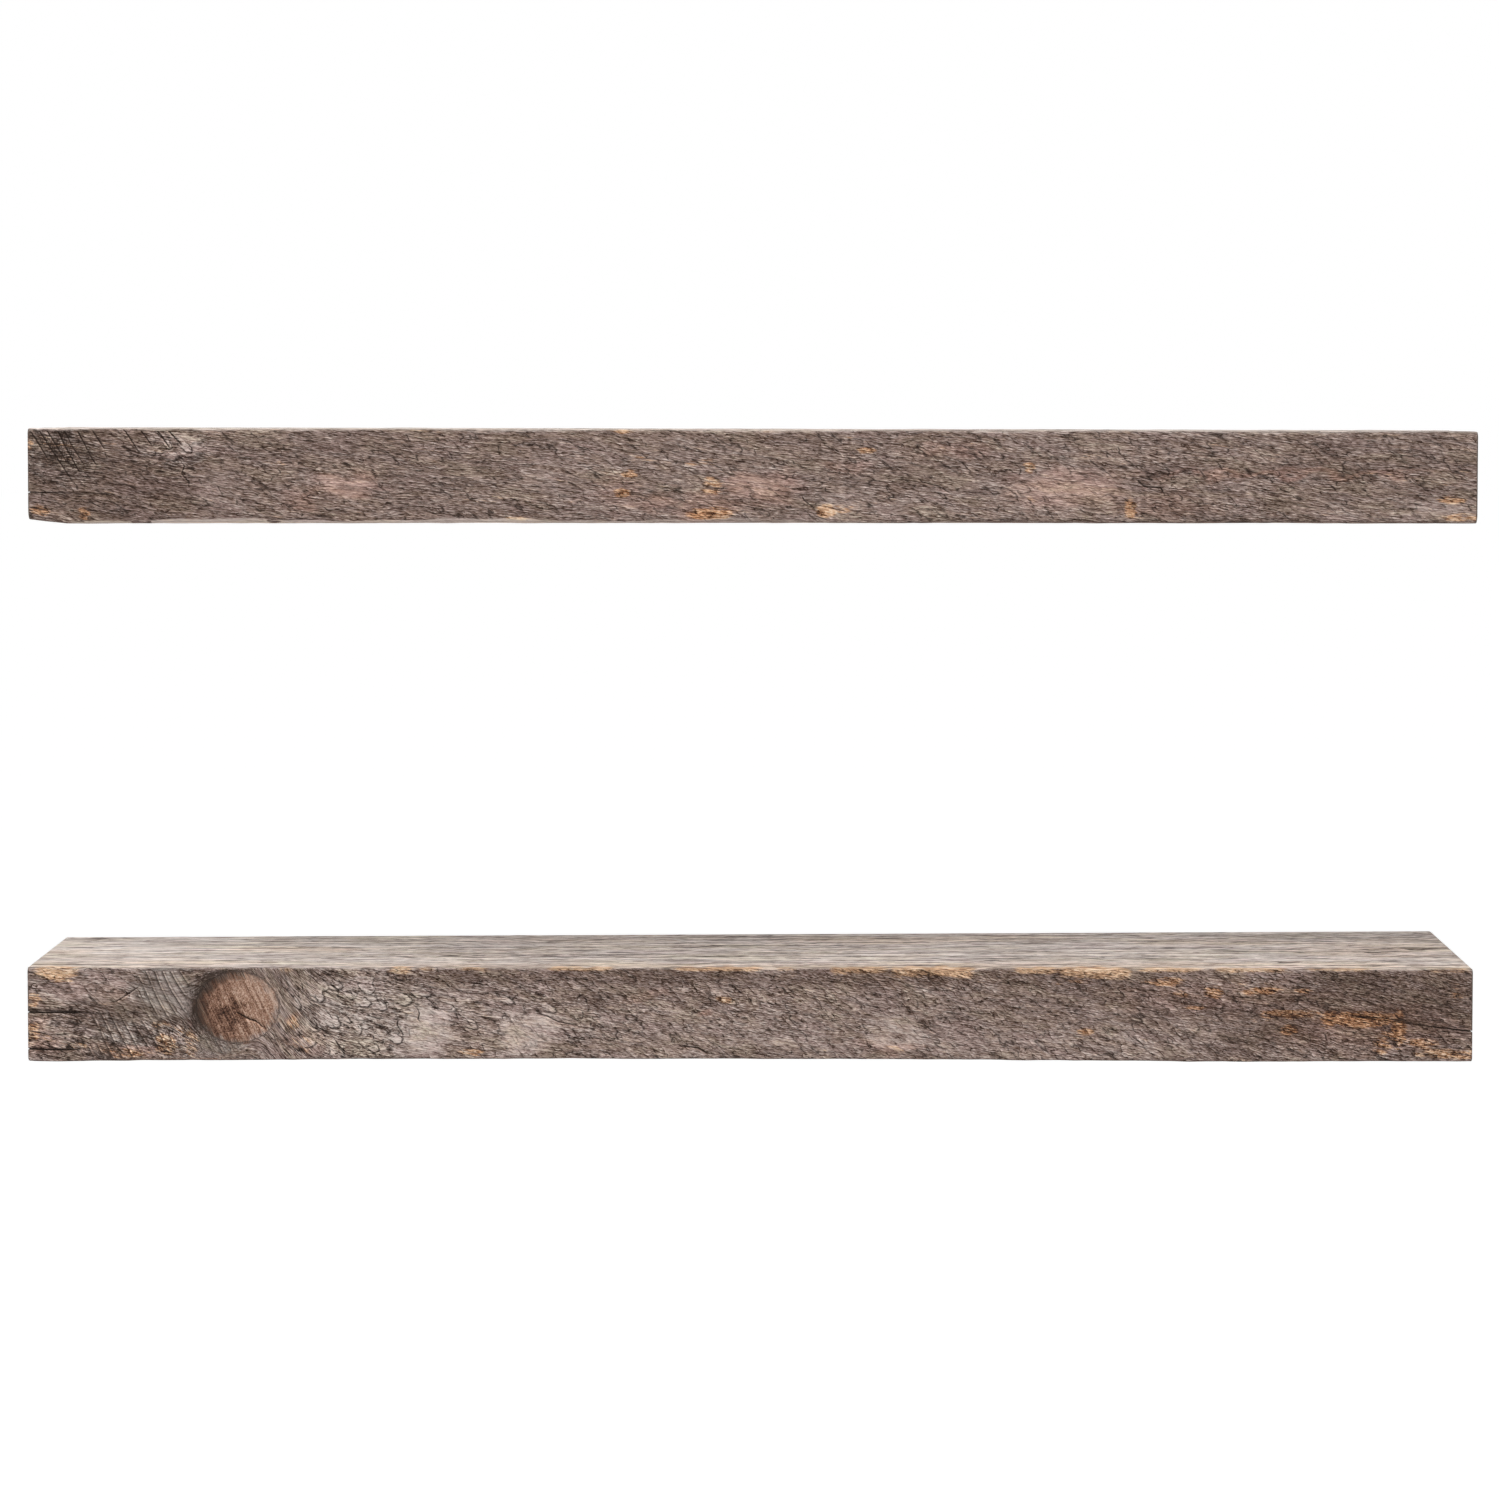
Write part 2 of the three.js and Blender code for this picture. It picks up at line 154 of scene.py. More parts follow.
def tree_of(values):
    return next(value.tree for value in values if isinstance(value, Value))


def maths(operation, *values, clamp=False):
    return take(tree_of(values), "Math", 0, dict(enumerate(values)), operation=operation, use_clamp=clamp)


def vector_maths(operation, *values, output="Vector"):
    return take(tree_of(values), "VectorMath", output, dict(enumerate(values)), operation=operation)


def highest(*values):
    best = values[0]
    for value in values[1:]:
        best = maths("MAXIMUM", best, value)
    return best


def sway(value, *parts):
    """Add to a value each part's difference from its middle, by its weight: (value, middle, weight)."""
    for part, middle, weight in parts:
        value = maths("MULTIPLY_ADD", part - middle if middle else part, weight, value)
    return value


def fit_range(value, low, high, to_low=0.0, to_high=1.0):
    """The value with low..high stretched to to_low..to_high, with soft ends."""
    inputs = {"Value": value, 1: low, 2: high, 3: to_low, 4: to_high}
    return take(value.tree, "MapRange", "Result", inputs, interpolation_type="SMOOTHSTEP")


def noise_at(place, scale, detail, roughness=0.5, output="Fac"):
    inputs = {"Vector": place, "Scale": scale, "Detail": detail, "Roughness": roughness}
    return take(place.tree, "TexNoise", output, inputs)


def parts_of(place):
    """The x, y and z of a place."""
    return [Value(place.tree, part) for part in add_node(place.tree, "SeparateXYZ", {0: place}).outputs]


def place_of(x, y, z):
    return take(tree_of((x, y, z)), "CombineXYZ", 0, {0: x, 1: y, 2: z})


def mix_colours(factor, first, second, blend="MIX"):
    inputs = {0: factor}
    for key, colour in ((6, first), (7, second)):
        inputs[key] = colour if isinstance(colour, Value) else (*colour, 1.0)
    kinds = {"data_type": "RGBA", "blend_type": blend, "clamp_factor": True}
    return take(tree_of((factor, first, second)), "Mix", 2, inputs, **kinds)


def tinted(colour, tint, amount=1.0):
    return mix_colours(amount, colour, tint, "MULTIPLY")


def colour_ramp(value, stops):
    """A ramp of colours from a list of (place, colour) pairs."""
    node = add_node(value.tree, "ValToRGB", {"Fac": value})
    ramp = node.color_ramp
    while len(ramp.elements) < len(stops):
        ramp.elements.new(0.5)
    for element, (place, colour) in zip(ramp.elements, stops):
        element.position = place
        element.color = (*colour, 1.0)
    return Value(value.tree, node.outputs["Color"])


def object_millimetres(tree):
    """A point's place on its own object."""
    return vector_maths("MULTIPLY", take(tree, "TexCoord", "Object"), (1000, 1000, 1000))


def relief(height, distance, strength=1.0):
    inputs = {"Strength": strength, "Distance": distance, "Height": height}
    return take(height.tree, "Bump", 0, inputs)


def new_material(name):
    material = bpy.data.materials.new(name)
    material.use_nodes = True
    material.node_tree.nodes.clear()
    return material, material.node_tree


def finish_material(material, **inputs):
    """Give a material its one shader, whose inputs are named with _ for each space, and its output."""
    tree = material.node_tree
    named = {label.replace("_", " "): value for label, value in inputs.items()}
    shader = take(tree, "BsdfPrincipled", 0, named)
    add_node(tree, "OutputMaterial", {"Surface": shader})
    return material


print("node helpers are ready")

# %% [markdown]
# ## The studio
#
# The photograph has a plain white background and no shadow. The world is white to the camera and to glossy
# rays, and a soft even grey to everything else. A pale floor lies well below the shelves, where they throw
# a faint shadow that only the higher views see. One wide lamp above and in front gives the light its
# direction, so that the grain casts small shadows downwards.

# %% World and floor
WORLD_LEVEL = 0.55
FLOOR_DROP = 0.75  # below the lower board's middle
FLOOR_REACH = 60.0
FLOOR_GREY = 0.82
WHITE = (1, 1, 1, 1)


def seen_directly(tree):
    """1 for rays that show the background itself: camera, glossy and transmission rays."""
    path = add_node(tree, "LightPath")
    kinds = ("Is Camera Ray", "Is Glossy Ray", "Is Transmission Ray")
    return highest(*(Value(tree, path.outputs[kind]) for kind in kinds))


def light_world():
    world = bpy.data.worlds.new("studio")
    world.use_nodes = True
    tree = world.node_tree
    tree.nodes.clear()
    strength = fit_range(seen_directly(tree), 0.0, 1.0, WORLD_LEVEL, 1.0)
    sky = take(tree, "Background", 0, {"Color": WHITE, "Strength": strength})
    add_node(tree, "OutputWorld", {"Surface": sky})
    bpy.context.scene.world = world


def lay_floor():
    bm = bmesh.new()
    bmesh.ops.create_grid(bm, x_segments=2, y_segments=2, size=FLOOR_REACH)
    bmesh.ops.translate(bm, verts=bm.verts, vec=(0, 0, -FLOOR_DROP))
    floor = add_object("studio_floor", mesh_of(bm, "studio_floor"))
    material, tree = new_material("studio_floor")
    finish_material(
        material,
        Base_Color=(FLOOR_GREY, FLOOR_GREY, FLOOR_GREY, 1),
        Roughness=0.9,
        Specular_IOR_Level=0.0,
        Emission_Color=WHITE,
        Emission_Strength=seen_directly(tree) * WORLD_LEVEL,
    )
    floor.data.materials.append(material)


light_world()
lay_floor()
print("white world and a pale floor", FLOOR_DROP, "m down")

# %% Lamps
# Each lamp: name, place, the point it faces, its size and its power.
LAMPS = (
    ("key_above", (-0.7, -1.3, 2.1), (0, -0.1, 0.1), 1.3, 44),
    ("fill_right", (1.9, -2.2, 0.7), (0, -0.1, 0.1), 1.6, 10),
    ("rim_behind", (0.4, 1.9, 1.6), (0, 0, 0.1), 1.5, 14),
)


def hang_lamp(name, place, target, size, power):
    data = bpy.data.lights.new(name, "AREA")
    data.shape = "SQUARE"
    data.size = size
    data.energy = power
    lamp = add_object(name, data)
    lamp.location = place
    facing = Vector(target) - Vector(place)
    lamp.rotation_euler = facing.to_track_quat("-Z", "Y").to_euler()


for lamp in LAMPS:
    hang_lamp(*lamp)
print(len(LAMPS), "lamps")

# %% [markdown]
# ## What each board looks like
#
# Every old board has its own marks, so they are listed here, in millimetres on its front face:
# how far right of the middle, and how far above the middle height. The patches are places where the grey
# skin has worn through to tan wood, or is polished pale. The saw marks are the scratches of a coarse blade
# across the grain. The shape values are those of the frame's board, so that the new skin lies on it.

# %% The lower board
LOWER = {
    "node": "lower_shelf_board",
    "body": "lower_shelf",
    "height": 0,
    "side_shift": 0,
    "length": 609.6,
    "thickness": 40.2,
    "depth": 139.7,
    "wind": (-1.3, 2.4),
    "taper": 0.9,
    "crown": {"height": 1.2, "place": 0.4, "reach": 0.4},
    "skew": (1.7, 0),
    "wane": (0.4, 9),
    "end_ease": 1,
    "arrises": {"front_top": 1.4, "front_bottom": 1.2, "back": 1.2},
    "wear": (7.3, 0.6),
    "bites": ((-0.472, 26, 2.6), (0.016, 24, 1.9), (0.143, 30, 3.4), (0.241, 22, 2.2)),
    "seed": 11,
    "lean": 0.17,  # how far the grain drops for each millimetre to the right
    "roughness": 1,  # how deep the front's clefts are, and how strongly its slanting marks show
    "grain_squeeze": 1,  # below 1 the grain's marks are drawn out longer
    # how the sheet's lines crowd along the board: up to here, this many for each millimetre
    "crowding": ((-130, 1.55), (-40, 1.15), (305, 0.95)),
    "knot": {"x": -216.3, "z": 2.8, "half_length": 17.6, "half_height": 15.2},
    # x, z, half length, half height, strength
    "bare": (
        (-291, 16.2, 7, 2.6, 1), (-302, 5.8, 2.6, 2.6, 0.9), (-303, -8, 3, 5, 0.8), (-297, -12, 5, 4, 0.4),
        (-264, -16.5, 11, 2, 0.75), (-285, -14, 5, 2, 0.5), (-246.5, -13, 4.4, 4.6, 1),
        (-248.5, -5, 4, 2.4, 0.7), (-236, -13, 3, 6, 0.8), (-241, -7.5, 3, 3, 0.7),
        (-193, -4.2, 2.6, 3.4, 0.9), (-189, -13, 5, 4.5, 0.5), (-10.5, 5.9, 3.6, 1.6, 1.1),
        (-118, -17, 5, 1.4, 0.9), (141.5, -7.6, 3, 1.9, 1.1), (59, -15, 6, 1.5, 0.55),
        (135, 14, 8, 1.6, 0.6), (174, 14.5, 8, 1.7, 0.9), (181.5, 10, 5.5, 2.8, 0.6),
        (195.5, 10, 4.2, 2.6, 1.15), (215.5, 10.3, 7, 1.6, 1.1), (234, 10.4, 4, 1.2, 0.9),
        (189, 3.5, 6, 1, 0.9), (228, 0.6, 12, 1.9, 1.05), (227.5, -6.5, 3.6, 2.2, 1.1),
        (244.5, -1.6, 3.8, 3.4, 1.05), (258, -1.8, 13, 3.2, 1.25), (284, -12, 7, 2.4, 0.9),
        (273.5, -6, 3, 7.5, 1.1), (267, -12, 4, 5, 1), (295, -16.5, 13, 2.6, 1), (298, 9, 4, 5, 0.6),
    ),
    "pale": (
        (-243, 8, 8, 9, 0.55), (-138, -7, 10, 11, 1.3), (-93, -8, 14, 7.5, 1.15), (62, -9, 10, 9, 0.7),
        (24, -9, 14, 8, 0.35), (178, -9, 20, 7, 0.35), (-172, -2, 26, 14, 0.4), (-115, -2, 40, 12, 0.35),
        (-296, -9, 8, 5, 0.5), (-280, 8, 18, 4, 0.25), (-20, -9, 40, 8, 0.25), (110, -13, 50, 5, 0.3),
    ),
    "dark": (
        (20, 16.5, 160, 4, 0.8), (272, 9, 40, 11, 1.3), (250, -4, 56, 16, 0.9), (-277, 0, 12, 4.5, 0.9),
        (283, -5, 3, 9, 0.9), (294, -6, 9, 9, 0.7), (-284, -14, 16, 6, 0.5), (-262, -2, 14, 6, 0.4),
        (-229, 14, 7, 5, 0.5), (150, 6, 60, 9, 0.35), (-60, 8, 50, 5, 0.4), (-287, -12, 9, 3, 0.5),
        (-243, -3, 5, 2, 1), (-268, -9, 12, 7, 0.3),
    ),
    # patches with a pinker tinge, or with a bluer one where the strength is negative
    "warm": (
        (-246, 8, 11, 10, -1), (-262, -4, 12, 9, -0.5), (-226, -13, 9, 4, -0.7), (-301, -8, 5, 8, 0.6),
        (-278, 11, 12, 3, 0.2), (-188, -12, 8, 6, 0.3), (-190, -2, 3, 3, 0.8), (-262, -16, 12, 3, 0.6),
        (-158, -2, 26, 12, -0.25), (-40, 8, 10, 2, 0.5), (-20, 0, 3, 2, 0.8), (60, -14, 12, 3, 0.5),
        (262, -6, 34, 8, 0.5), (200, 8, 40, 6, 0.35), (-270, 0, 12, 3, -0.3),
    ),
    # where the front top arris is worn to tan wood: from x, to x, how far down, how far back, strength
    "worn_arris": (
        (-301, -283, 4.4, 11, 0.72), (-199, -192, 2.2, 6, 0.5), (-152, -143, 2.6, 9, 1),
        (-140, -134, 1.4, 8, 0.7), (-122, -110, 1.4, 11, 0.6), (-85, -58, 1.4, 12, 0.9),
        (-32, 4, 1.4, 13, 0.9), (8, 20, 1.2, 9, 0.5), (34, 58, 2.2, 13, 1), (60, 94, 3.4, 14, 1.1),
        (112, 130, 2.2, 11, 1), (130, 160, 3.6, 13, 1.1), (164, 190, 1.4, 9, 0.8), (196, 226, 1.6, 9, 0.7),
        (234, 262, 1.2, 8, 0.6), (286, 304, 2, 11, 0.5),
    ),
    # the same on the top, near its front edge and in patches: x, y, half length, half depth, strength
    "tanned": (
        (-262, -124, 46, 16, 0.45), (-206, -60, 22, 10, 0.6), (-180, -60, 10, 9, 0.7),
        (-86, -22, 34, 9, 0.35), (-10, -133, 140, 12, 0.6), (150, -132, 150, 14, 0.7),
        (62, -30, 40, 12, 0.6), (120, -20, 26, 9, 0.5), (205, -40, 30, 12, 0.5), (270, -70, 30, 26, 0.5),
        (-296, -70, 10, 12, 0.4),
    ),
    "top_checks": (
        (-297.4, -41.6, 5, 1.1, 1), (-296.4, -62.8, 2.2, 1, 0.9), (-272, -30, 14, 0.8, 0.5),
    ),
    "pale_foot": 0,  # how pale and smooth the painted highlight on the worn lower arris is, which faces down, away from the lamp
    # x and z of the points of a crack, with its half width and depth
    "splits": (
        (((-305, 1.6), (-296, 1.6), (-287, 1.2), (-272, 0.3)), 0.18, 0.8),
        (((-305, -14.6), (-297, -14.9), (-290, -15), (-272, -14.6)), 0.18, 0.8),
        (((249, 0.4), (258, -0.6), (267, -1.2), (278.5, -3), (284, -3.6)), 0.14, 0.5),
        (((-217, 1.2), (-215.6, 0), (-211.4, -2.3), (-208.6, -3.1), (-205.8, -5.6), (-202, -7)), 0.26, 0.8),
        (((-272, 4.6), (-267, 5.6), (-262.5, 8.4), (-258, 11.6), (-254.5, 15.5)), 0.14, 0.4),
        (((-92, 0.2), (-86, -1), (-81, -3.6), (-74, -5), (-66.7, -8)), 0.16, 0.4),
        (((-141, 3.5), (-139.5, 0), (-140.2, -2.5), (-137, -6)), 0.15, 0.3),
        (((-148.6, -2), (-149, -5), (-146.5, -9), (-147, -12)), 0.15, 0.3),
        (((68.8, -3.4), (73, -4.2), (77, -7.5), (82.7, -10)), 0.13, 0.3),
        (((-30, -14), (-22, -15), (-15, -19)), 0.25, 0.5),
    ),
    # the coarse saw's marks: their direction, the step between two, their depth, and where they are left
    "saw": {
        "direction": (0.447, -0.894),
        "step": 3.5,
        "depth": 0.32,
        "patches": (
            (-247, 6, 11, 13, 1), (-259, -6, 14, 11, 0.9), (-266, -16, 14, 4, 0.8), (-226, -15, 8, 4, 0.5),
        ),
    },
    # lifted scales of wood: x, z, half length, half width, and the angle by which the free tip points down
    "scales": (
        (-162.5, 13.5, 5.5, 3.4, 65), (-175.5, 12.6, 3, 2.2, 40), (-180.2, 12, 2.2, 1.9, 45),
        (-184, 10, 6, 2.2, 50), (-147.5, 6.2, 5.4, 2.2, 18), (-155.8, 3.3, 2.4, 1.7, 35),
        (-177, -2.6, 5, 2.5, 42), (-174.4, -15.6, 4.6, 3.2, 75), (-166, -6.5, 2.6, 1.6, 50),
        (-187.5, -12.2, 3.4, 2, 15), (-163.5, 5, 3.6, 1.9, 30), (-138.5, 9, 4.2, 1.5, 12),
        (-169, 8.6, 2.8, 1.8, 42), (-151, -10, 4.2, 2, 35), (-184.5, -6, 3.2, 1.5, 35),
        (-160.5, -14, 4, 1.9, 28), (-192, 5, 3.4, 1.2, 55), (-128, 2.6, 3.6, 1.6, 22),
        (-119, -4, 4.4, 1.8, 30), (-104, 6, 4, 1.4, 20), (-86, 2.6, 4.4, 1.5, 24),
    ),
    "flaking": (
        (-168, -3, 36, 20, 1), (-100, -2, 40, 14, 0.5), (270, -14, 40, 6, 0.4), (-292, -9, 14, 10, 0.8),
        (-264, -11, 22, 9, 0.75), (-243, -10, 9, 9, 0.9), (-30, -4, 60, 14, 0.25),
    ),
}

# %% The upper board
UPPER = {
    "node": "upper_shelf_board",
    "body": "upper_shelf",
    "height": 226.7,
    "side_shift": 1.1,
    "length": 607.8,
    "thickness": 39.7,
    "depth": 139.7,
    "wind": (0, 0),
    "taper": 1.4,
    "crown": {"height": 0.2, "place": 0.5, "reach": 0.5},
    "skew": (0, 0.8),
    "wane": (1.7, 16),
    "end_ease": 1,
    "arrises": {"front_top": 1.5, "front_bottom": 2.5, "back": 1.2},
    "wear": (5.6, 2.4),
    "bites": ((0.281, 20, 1.6),),
    "seed": 47,
    "lean": 0.12,
    "roughness": 0.6,
    "grain_squeeze": 0.78,
    "crowding": ((-230, 1.4), (304, 1.08)),
    "knot": None,
    "bare": (
        (-303, 12, 1.6, 3.6, 0.7), (-293, 10, 8, 6, 0.4), (-299, -15, 4, 2.8, 0.75),
        (-280.5, -15.3, 2.4, 2.4, 0.9), (-197, 6.4, 2.4, 1.3, 0.6), (-284, 18.5, 2.4, 1, 0.7),
        (-99, -17.8, 5, 1.2, 0.8), (-51.4, 1, 3, 1.7, 1.1), (-54.7, -7, 3.4, 1.8, 1.1),
        (-47, 8, 5, 1.7, 0.5), (-55.6, 18.6, 3.4, 0.9, 0.8), (-22, 6, 6.5, 1.3, 0.6),
        (-17, -4, 4, 4.4, 0.9), (-18, -16, 9, 2.8, 1.1), (47.5, 11.3, 3.4, 1.5, 1.1),
        (6.5, 16, 4, 1.2, 0.5), (30.6, -14.5, 4, 2.6, 1.2), (38, -13.5, 4, 2.2, 0.7),
        (116, 4.2, 2.4, 2.6, 0.95), (117, -9.5, 2.4, 1.6, 0.7), (158.3, -13.5, 2.4, 3.8, 1.2),
        (166.5, -5.5, 4.4, 1.8, 0.4), (292.5, -9.5, 6, 1.5, 1), (297, -17.4, 9, 2, 1.05),
    ),
    "pale": (
        (-89, -0.5, 6, 6, 0.5), (-227, -2, 10, 11, 0.45), (-239, 13, 5, 5, 0.7), (36, -12, 9, 5, 0.6),
        (290, -15, 14, 4, 0.6), (-171, -4, 12, 3.8, 0.68), (4, -4.5, 13, 5, 0.6), (131, -5, 20, 6, 0.7),
        (-46, -12, 9, 3, 0.5), (-240, 13, 7, 4, 0.6), (-25, 0, 60, 16, 0.25), (120, 0, 40, 18, 0.25),
        (270, -15, 30, 3, 0.4), (70, -15, 40, 3, 0.3),
    ),
    "dark": (
        (-285, 3, 26, 15, 1.25), (-262, -2, 46, 16, 1.1), (-150, 0, 230, 40, 0.42),
        (200, 0, 200, 40, 0.22), (75, 3, 24, 7, 0.5), (230, 4, 60, 3, 0.6), (-120, 12, 60, 5, 0.3),
        (-225, 2, 30, 14, 0.35), (240, 14, 60, 4, 0.3), (30, 14, 60, 4, 0.3),
    ),
    "warm": (
        (-171, -4, 13, 4.5, 0.75), (-191, -10, 7, 4, 0.6), (4, -4.5, 14, 6, 0.8), (131, -5, 21, 6.5, 0.7),
        (-46, -12, 9, 3, 0.7), (225, 1.4, 50, 1.4, 0.8), (-20, -13, 11, 5, 0.7), (-287, 8, 14, 9, -0.35),
        (85, 12, 12, 3, 0.5), (-55, -6, 10, 5, 0.5), (170, -12, 20, 4, 0.4), (40, 4, 8, 3, 0.5),
    ),
    "worn_arris": (
        (-58, -49, 1.3, 4, 0.7), (2, 11, 1, 4, 0.4), (44, 52, 1, 4, 0.4), (-140, -128, 0.9, 4, 0.35),
        (-205, -196, 0.9, 4, 0.35), (150, 160, 0.9, 4, 0.35),
    ),
    "tanned": (
        (-220, -130, 90, 16, 0.4), (60, -128, 120, 18, 0.4), (-60, -60, 60, 24, 0.4),
        (210, -50, 60, 20, 0.4),
    ),
    "top_checks": (
        (-120, -80, 26, 0.9, 0.7), (190, -34, 30, 0.8, 0.6),
    ),
    "pale_foot": 2.5,
    "splits": (
        (((160, 0), (164, -3.9), (171, -4.5), (174, -10)), 0.26, 0.6),
        (((-242, 9), (-238.2, 4.2), (-239.4, 1), (-236.2, -2.5), (-236.6, -5), (-232.3, -8)), 0.13, 0.5),
        (((20, -7), (21.6, -10), (25.4, -13), (27, -16)), 0.13, 0.3),
        (((67, 1.5), (71, -2.2), (78, -4), (84, -7.6), (92, -9.5)), 0.12, 0.3),
        # the marks of a coarse saw, on the left
        (((-303, 19), (-300.5, 15.2), (-292, 1)), 0.24, 0.5),
        (((-299.7, 19.8), (-293, 9.5), (-282, -7)), 0.28, 0.6),
        (((-296.4, 19.8), (-290, 9.6), (-285, 2)), 0.20, 0.4),
        (((-291.7, 19.8), (-288.5, 13), (-279.5, -3.5)), 0.32, 0.7),
        (((-289, 19.8), (-285, 12), (-278, 1)), 0.20, 0.4),
        (((-283.5, 19.8), (-277, 7.4), (-274, 3)), 0.24, 0.5),
        (((-276.5, 18.6), (-270.6, 9.6)), 0.22, 0.4),
        (((-263, 18.8), (-259.5, 13.5), (-256, 8)), 0.22, 0.4),
        (((-257, 19.8), (-250.5, 11)), 0.20, 0.4),
        (((-250, 19.5), (-243, 10)), 0.24, 0.5),
        (((-245, 19), (-238, 11.5)), 0.24, 0.5),
    ),
    "saw": {
        "direction": (0.56, -0.83),
        "step": 2.4,
        "depth": 0,
        "patches": ((-290, 9, 16, 12, 0.35),),
    },
    "scales": (
        (-238.5, 13, 4.2, 1.5, 45), (-246, 14, 3, 1.3, 50), (-233, -10, 4.4, 1.5, 20),
    ),
    "flaking": (
        (-242, 11, 12, 8, 0.9), (-291, 8, 15, 11, 0.6), (-30, -4, 70, 14, 0.15), (120, -4, 80, 14, 0.15),
    ),
}
print("marks listed for", LOWER["node"], "and", UPPER["node"])

# %% [markdown]
# ## Laying a fine sheet round a board
#
# A board's skin could be a subdivided cube, but then its back would be as fine as its front. Here one flat
# grid is rolled round the board like paper round a parcel: its long way runs along the board, its short
# way round the section. Its lines lie close together on the front and along the front arris, where the
# light catches every fibre, and far apart underneath.

# %% Where the sheet's lines lie
MM = 0.001
# How many lines each side of the section gets, and how they crowd towards its first edge (1 is even).
SIDE_LINES = (("front", 66, 1.0), ("top", 38, 1.6), ("back", 8, 1.0), ("underside", 16, 0.5))
# More lines, this near a corner in millimetres, where a side's own lie far apart.
CORNER_LINES = (0.45, 1.1, 2.0)
FINE_END = 2.4  # the stretch at each end of a board where the lines crowd
FINE_END_LINES = 5


def section_places(depth, thickness):
    """The sheet's places round a square-cornered section, as (y, z), from the front's foot and back to it."""
    half = thickness / 2
    corners = {
        "front": ((-depth, -half), (-depth, half)),
        "top": ((-depth, half), (0.0, half)),
        "back": ((0.0, half), (0.0, -half)),
        "underside": ((0.0, -half), (-depth, -half)),
    }
    places = []
    for side, count, crowding in SIDE_LINES:
        (y0, z0), (y1, z1) = corners[side]
        own = [(line / count) ** crowding for line in range(count)]
        near = [line / math.hypot(y1 - y0, z1 - z0) for line in CORNER_LINES]
        first = [share for share in near if share < 0.6 * own[1]]
        last = [1 - share for share in near if share < 0.6 * (1 - own[-1])]
        for share in sorted(own + first + last):
            places.append((y0 + (y1 - y0) * share, z0 + (z1 - z0) * share))
    return places + places[:1]


def places_along(board):
    """The sheet's places along a board, crowded at its ends and where it is finely marked."""
    end = board["length"] / 2
    ease = [FINE_END * (line / FINE_END_LINES) ** 1.6 for line in range(FINE_END_LINES)]
    places = [place - end for place in ease]
    start = -end + FINE_END
    for limit, per_millimetre in board["crowding"]:
        stop = min(limit, end - FINE_END)
        count = round((stop - start) * per_millimetre)
        places += [start + (stop - start) * line / count for line in range(count)]
        start = stop
    return places + [start] + [end - place for place in reversed(ease)]


def roll_sheet(board, depth):
    """A closed sheet round a square-cornered board, in millimetres, open at its two ends."""
    section = section_places(depth, board["thickness"])
    along = places_along(board)
    bm = bmesh.new()
    bmesh.ops.create_grid(bm, x_segments=len(along) - 1, y_segments=len(section) - 1, size=1)
    for vert in bm.verts:
        station = round((vert.co.x + 1) / 2 * (len(along) - 1))
        line = round((vert.co.y + 1) / 2 * (len(section) - 1))
        vert.co = (along[station], *section[line])
    bmesh.ops.remove_doubles(bm, verts=bm.verts, dist=0.0001)
    return bm


print(len(section_places(LOWER["depth"], LOWER["thickness"])), "lines round the lower board and",
      len(places_along(LOWER)), "along it")

# %% Close the ends
END_RINGS = 12
RIM = 0.4  # how far in from the rim the first ring lies, so that end grain begins close to the arris


def close_ends(bm, depth, thickness):
    """Draw each open end in towards its middle, ring by ring, and close the last small ring."""
    middle = Vector((0, -depth / 2, 0))
    for side in (-1, 1):
        ring = [edge for edge in bm.edges if edge.is_boundary and edge.verts[0].co.x * side > 0]
        for step in range(END_RINGS):
            grown = bmesh.ops.extrude_edge_only(bm, edges=ring)["geom"]
            verts = [item for item in grown if isinstance(item, bmesh.types.BMVert)]
            ring = [item for item in grown if isinstance(item, bmesh.types.BMEdge) and item.is_boundary]
            left = (END_RINGS - step - 0.5) / (END_RINGS - step + 0.5)
            left_y, left_z = (1 - 2 * RIM / depth, 1 - 2 * RIM / thickness) if step == 0 else (left, left)
            for vert in verts:
                vert.co.y = middle.y + (vert.co.y - middle.y) * left_y
                vert.co.z *= left_z
        bmesh.ops.contextual_create(bm, geom=ring)


print(END_RINGS, "rings close each end")

# %% [markdown]
# ## Wearing the arrises and the ends
#
# A square corner is worn round by pulling each point in the corner's square on to an arc. The arc's radius
# changes along the board in slow swells with a few deep bites, which is what makes an old arris look
# handled rather than machined. The board's wind, taper and crown are slopes that are added afterwards.

# %% Corner radii and slopes
SHARPEST = 0.3  # the smallest radius of an arris, in millimetres
WEAR_SHARE = 0.34  # how much a swell adds to a radius
RIPPLES_PER_SWELL = 3.7


def lerp(first, second, share):
    return first + (second - first) * share


def rise(low, high, value):
    """0 below low, 1 above high, and a smooth rise between."""
    share = min(max((value - low) / (high - low), 0.0), 1.0)
    return share * share * (3 - 2 * share)


def wander(a, b, c):
    """Smooth noise at three numbers, mostly within half of 0 to both sides."""
    return noise.noise(Vector((a, b, c)))


def worn_radius(board, radius, share):
    cycles, phase = board["wear"]
    turn = 2 * math.pi
    swell = math.sin(turn * (cycles * share + phase))
    ripple = math.sin(turn * (cycles * RIPPLES_PER_SWELL * share - phase))
    return radius * (1 + WEAR_SHARE * (swell + ripple / 2))


def bite_depth(board, share):
    """How much deeper the front top arris is worn here by the board's bites."""
    depth = 0.0
    for place, span, extra in board["bites"]:
        away = abs(share - 0.5 - place) * board["length"] / span
        if away < 0.5:
            depth += extra * math.cos(math.pi * away) ** 2
    return depth


def corner_radius(board, is_front, is_top, share):
    if not is_front:
        return board["arrises"]["back"]
    if is_top:
        return worn_radius(board, board["arrises"]["front_top"], share) + bite_depth(board, share)
    return worn_radius(board, board["arrises"]["front_bottom"], 1 - share)


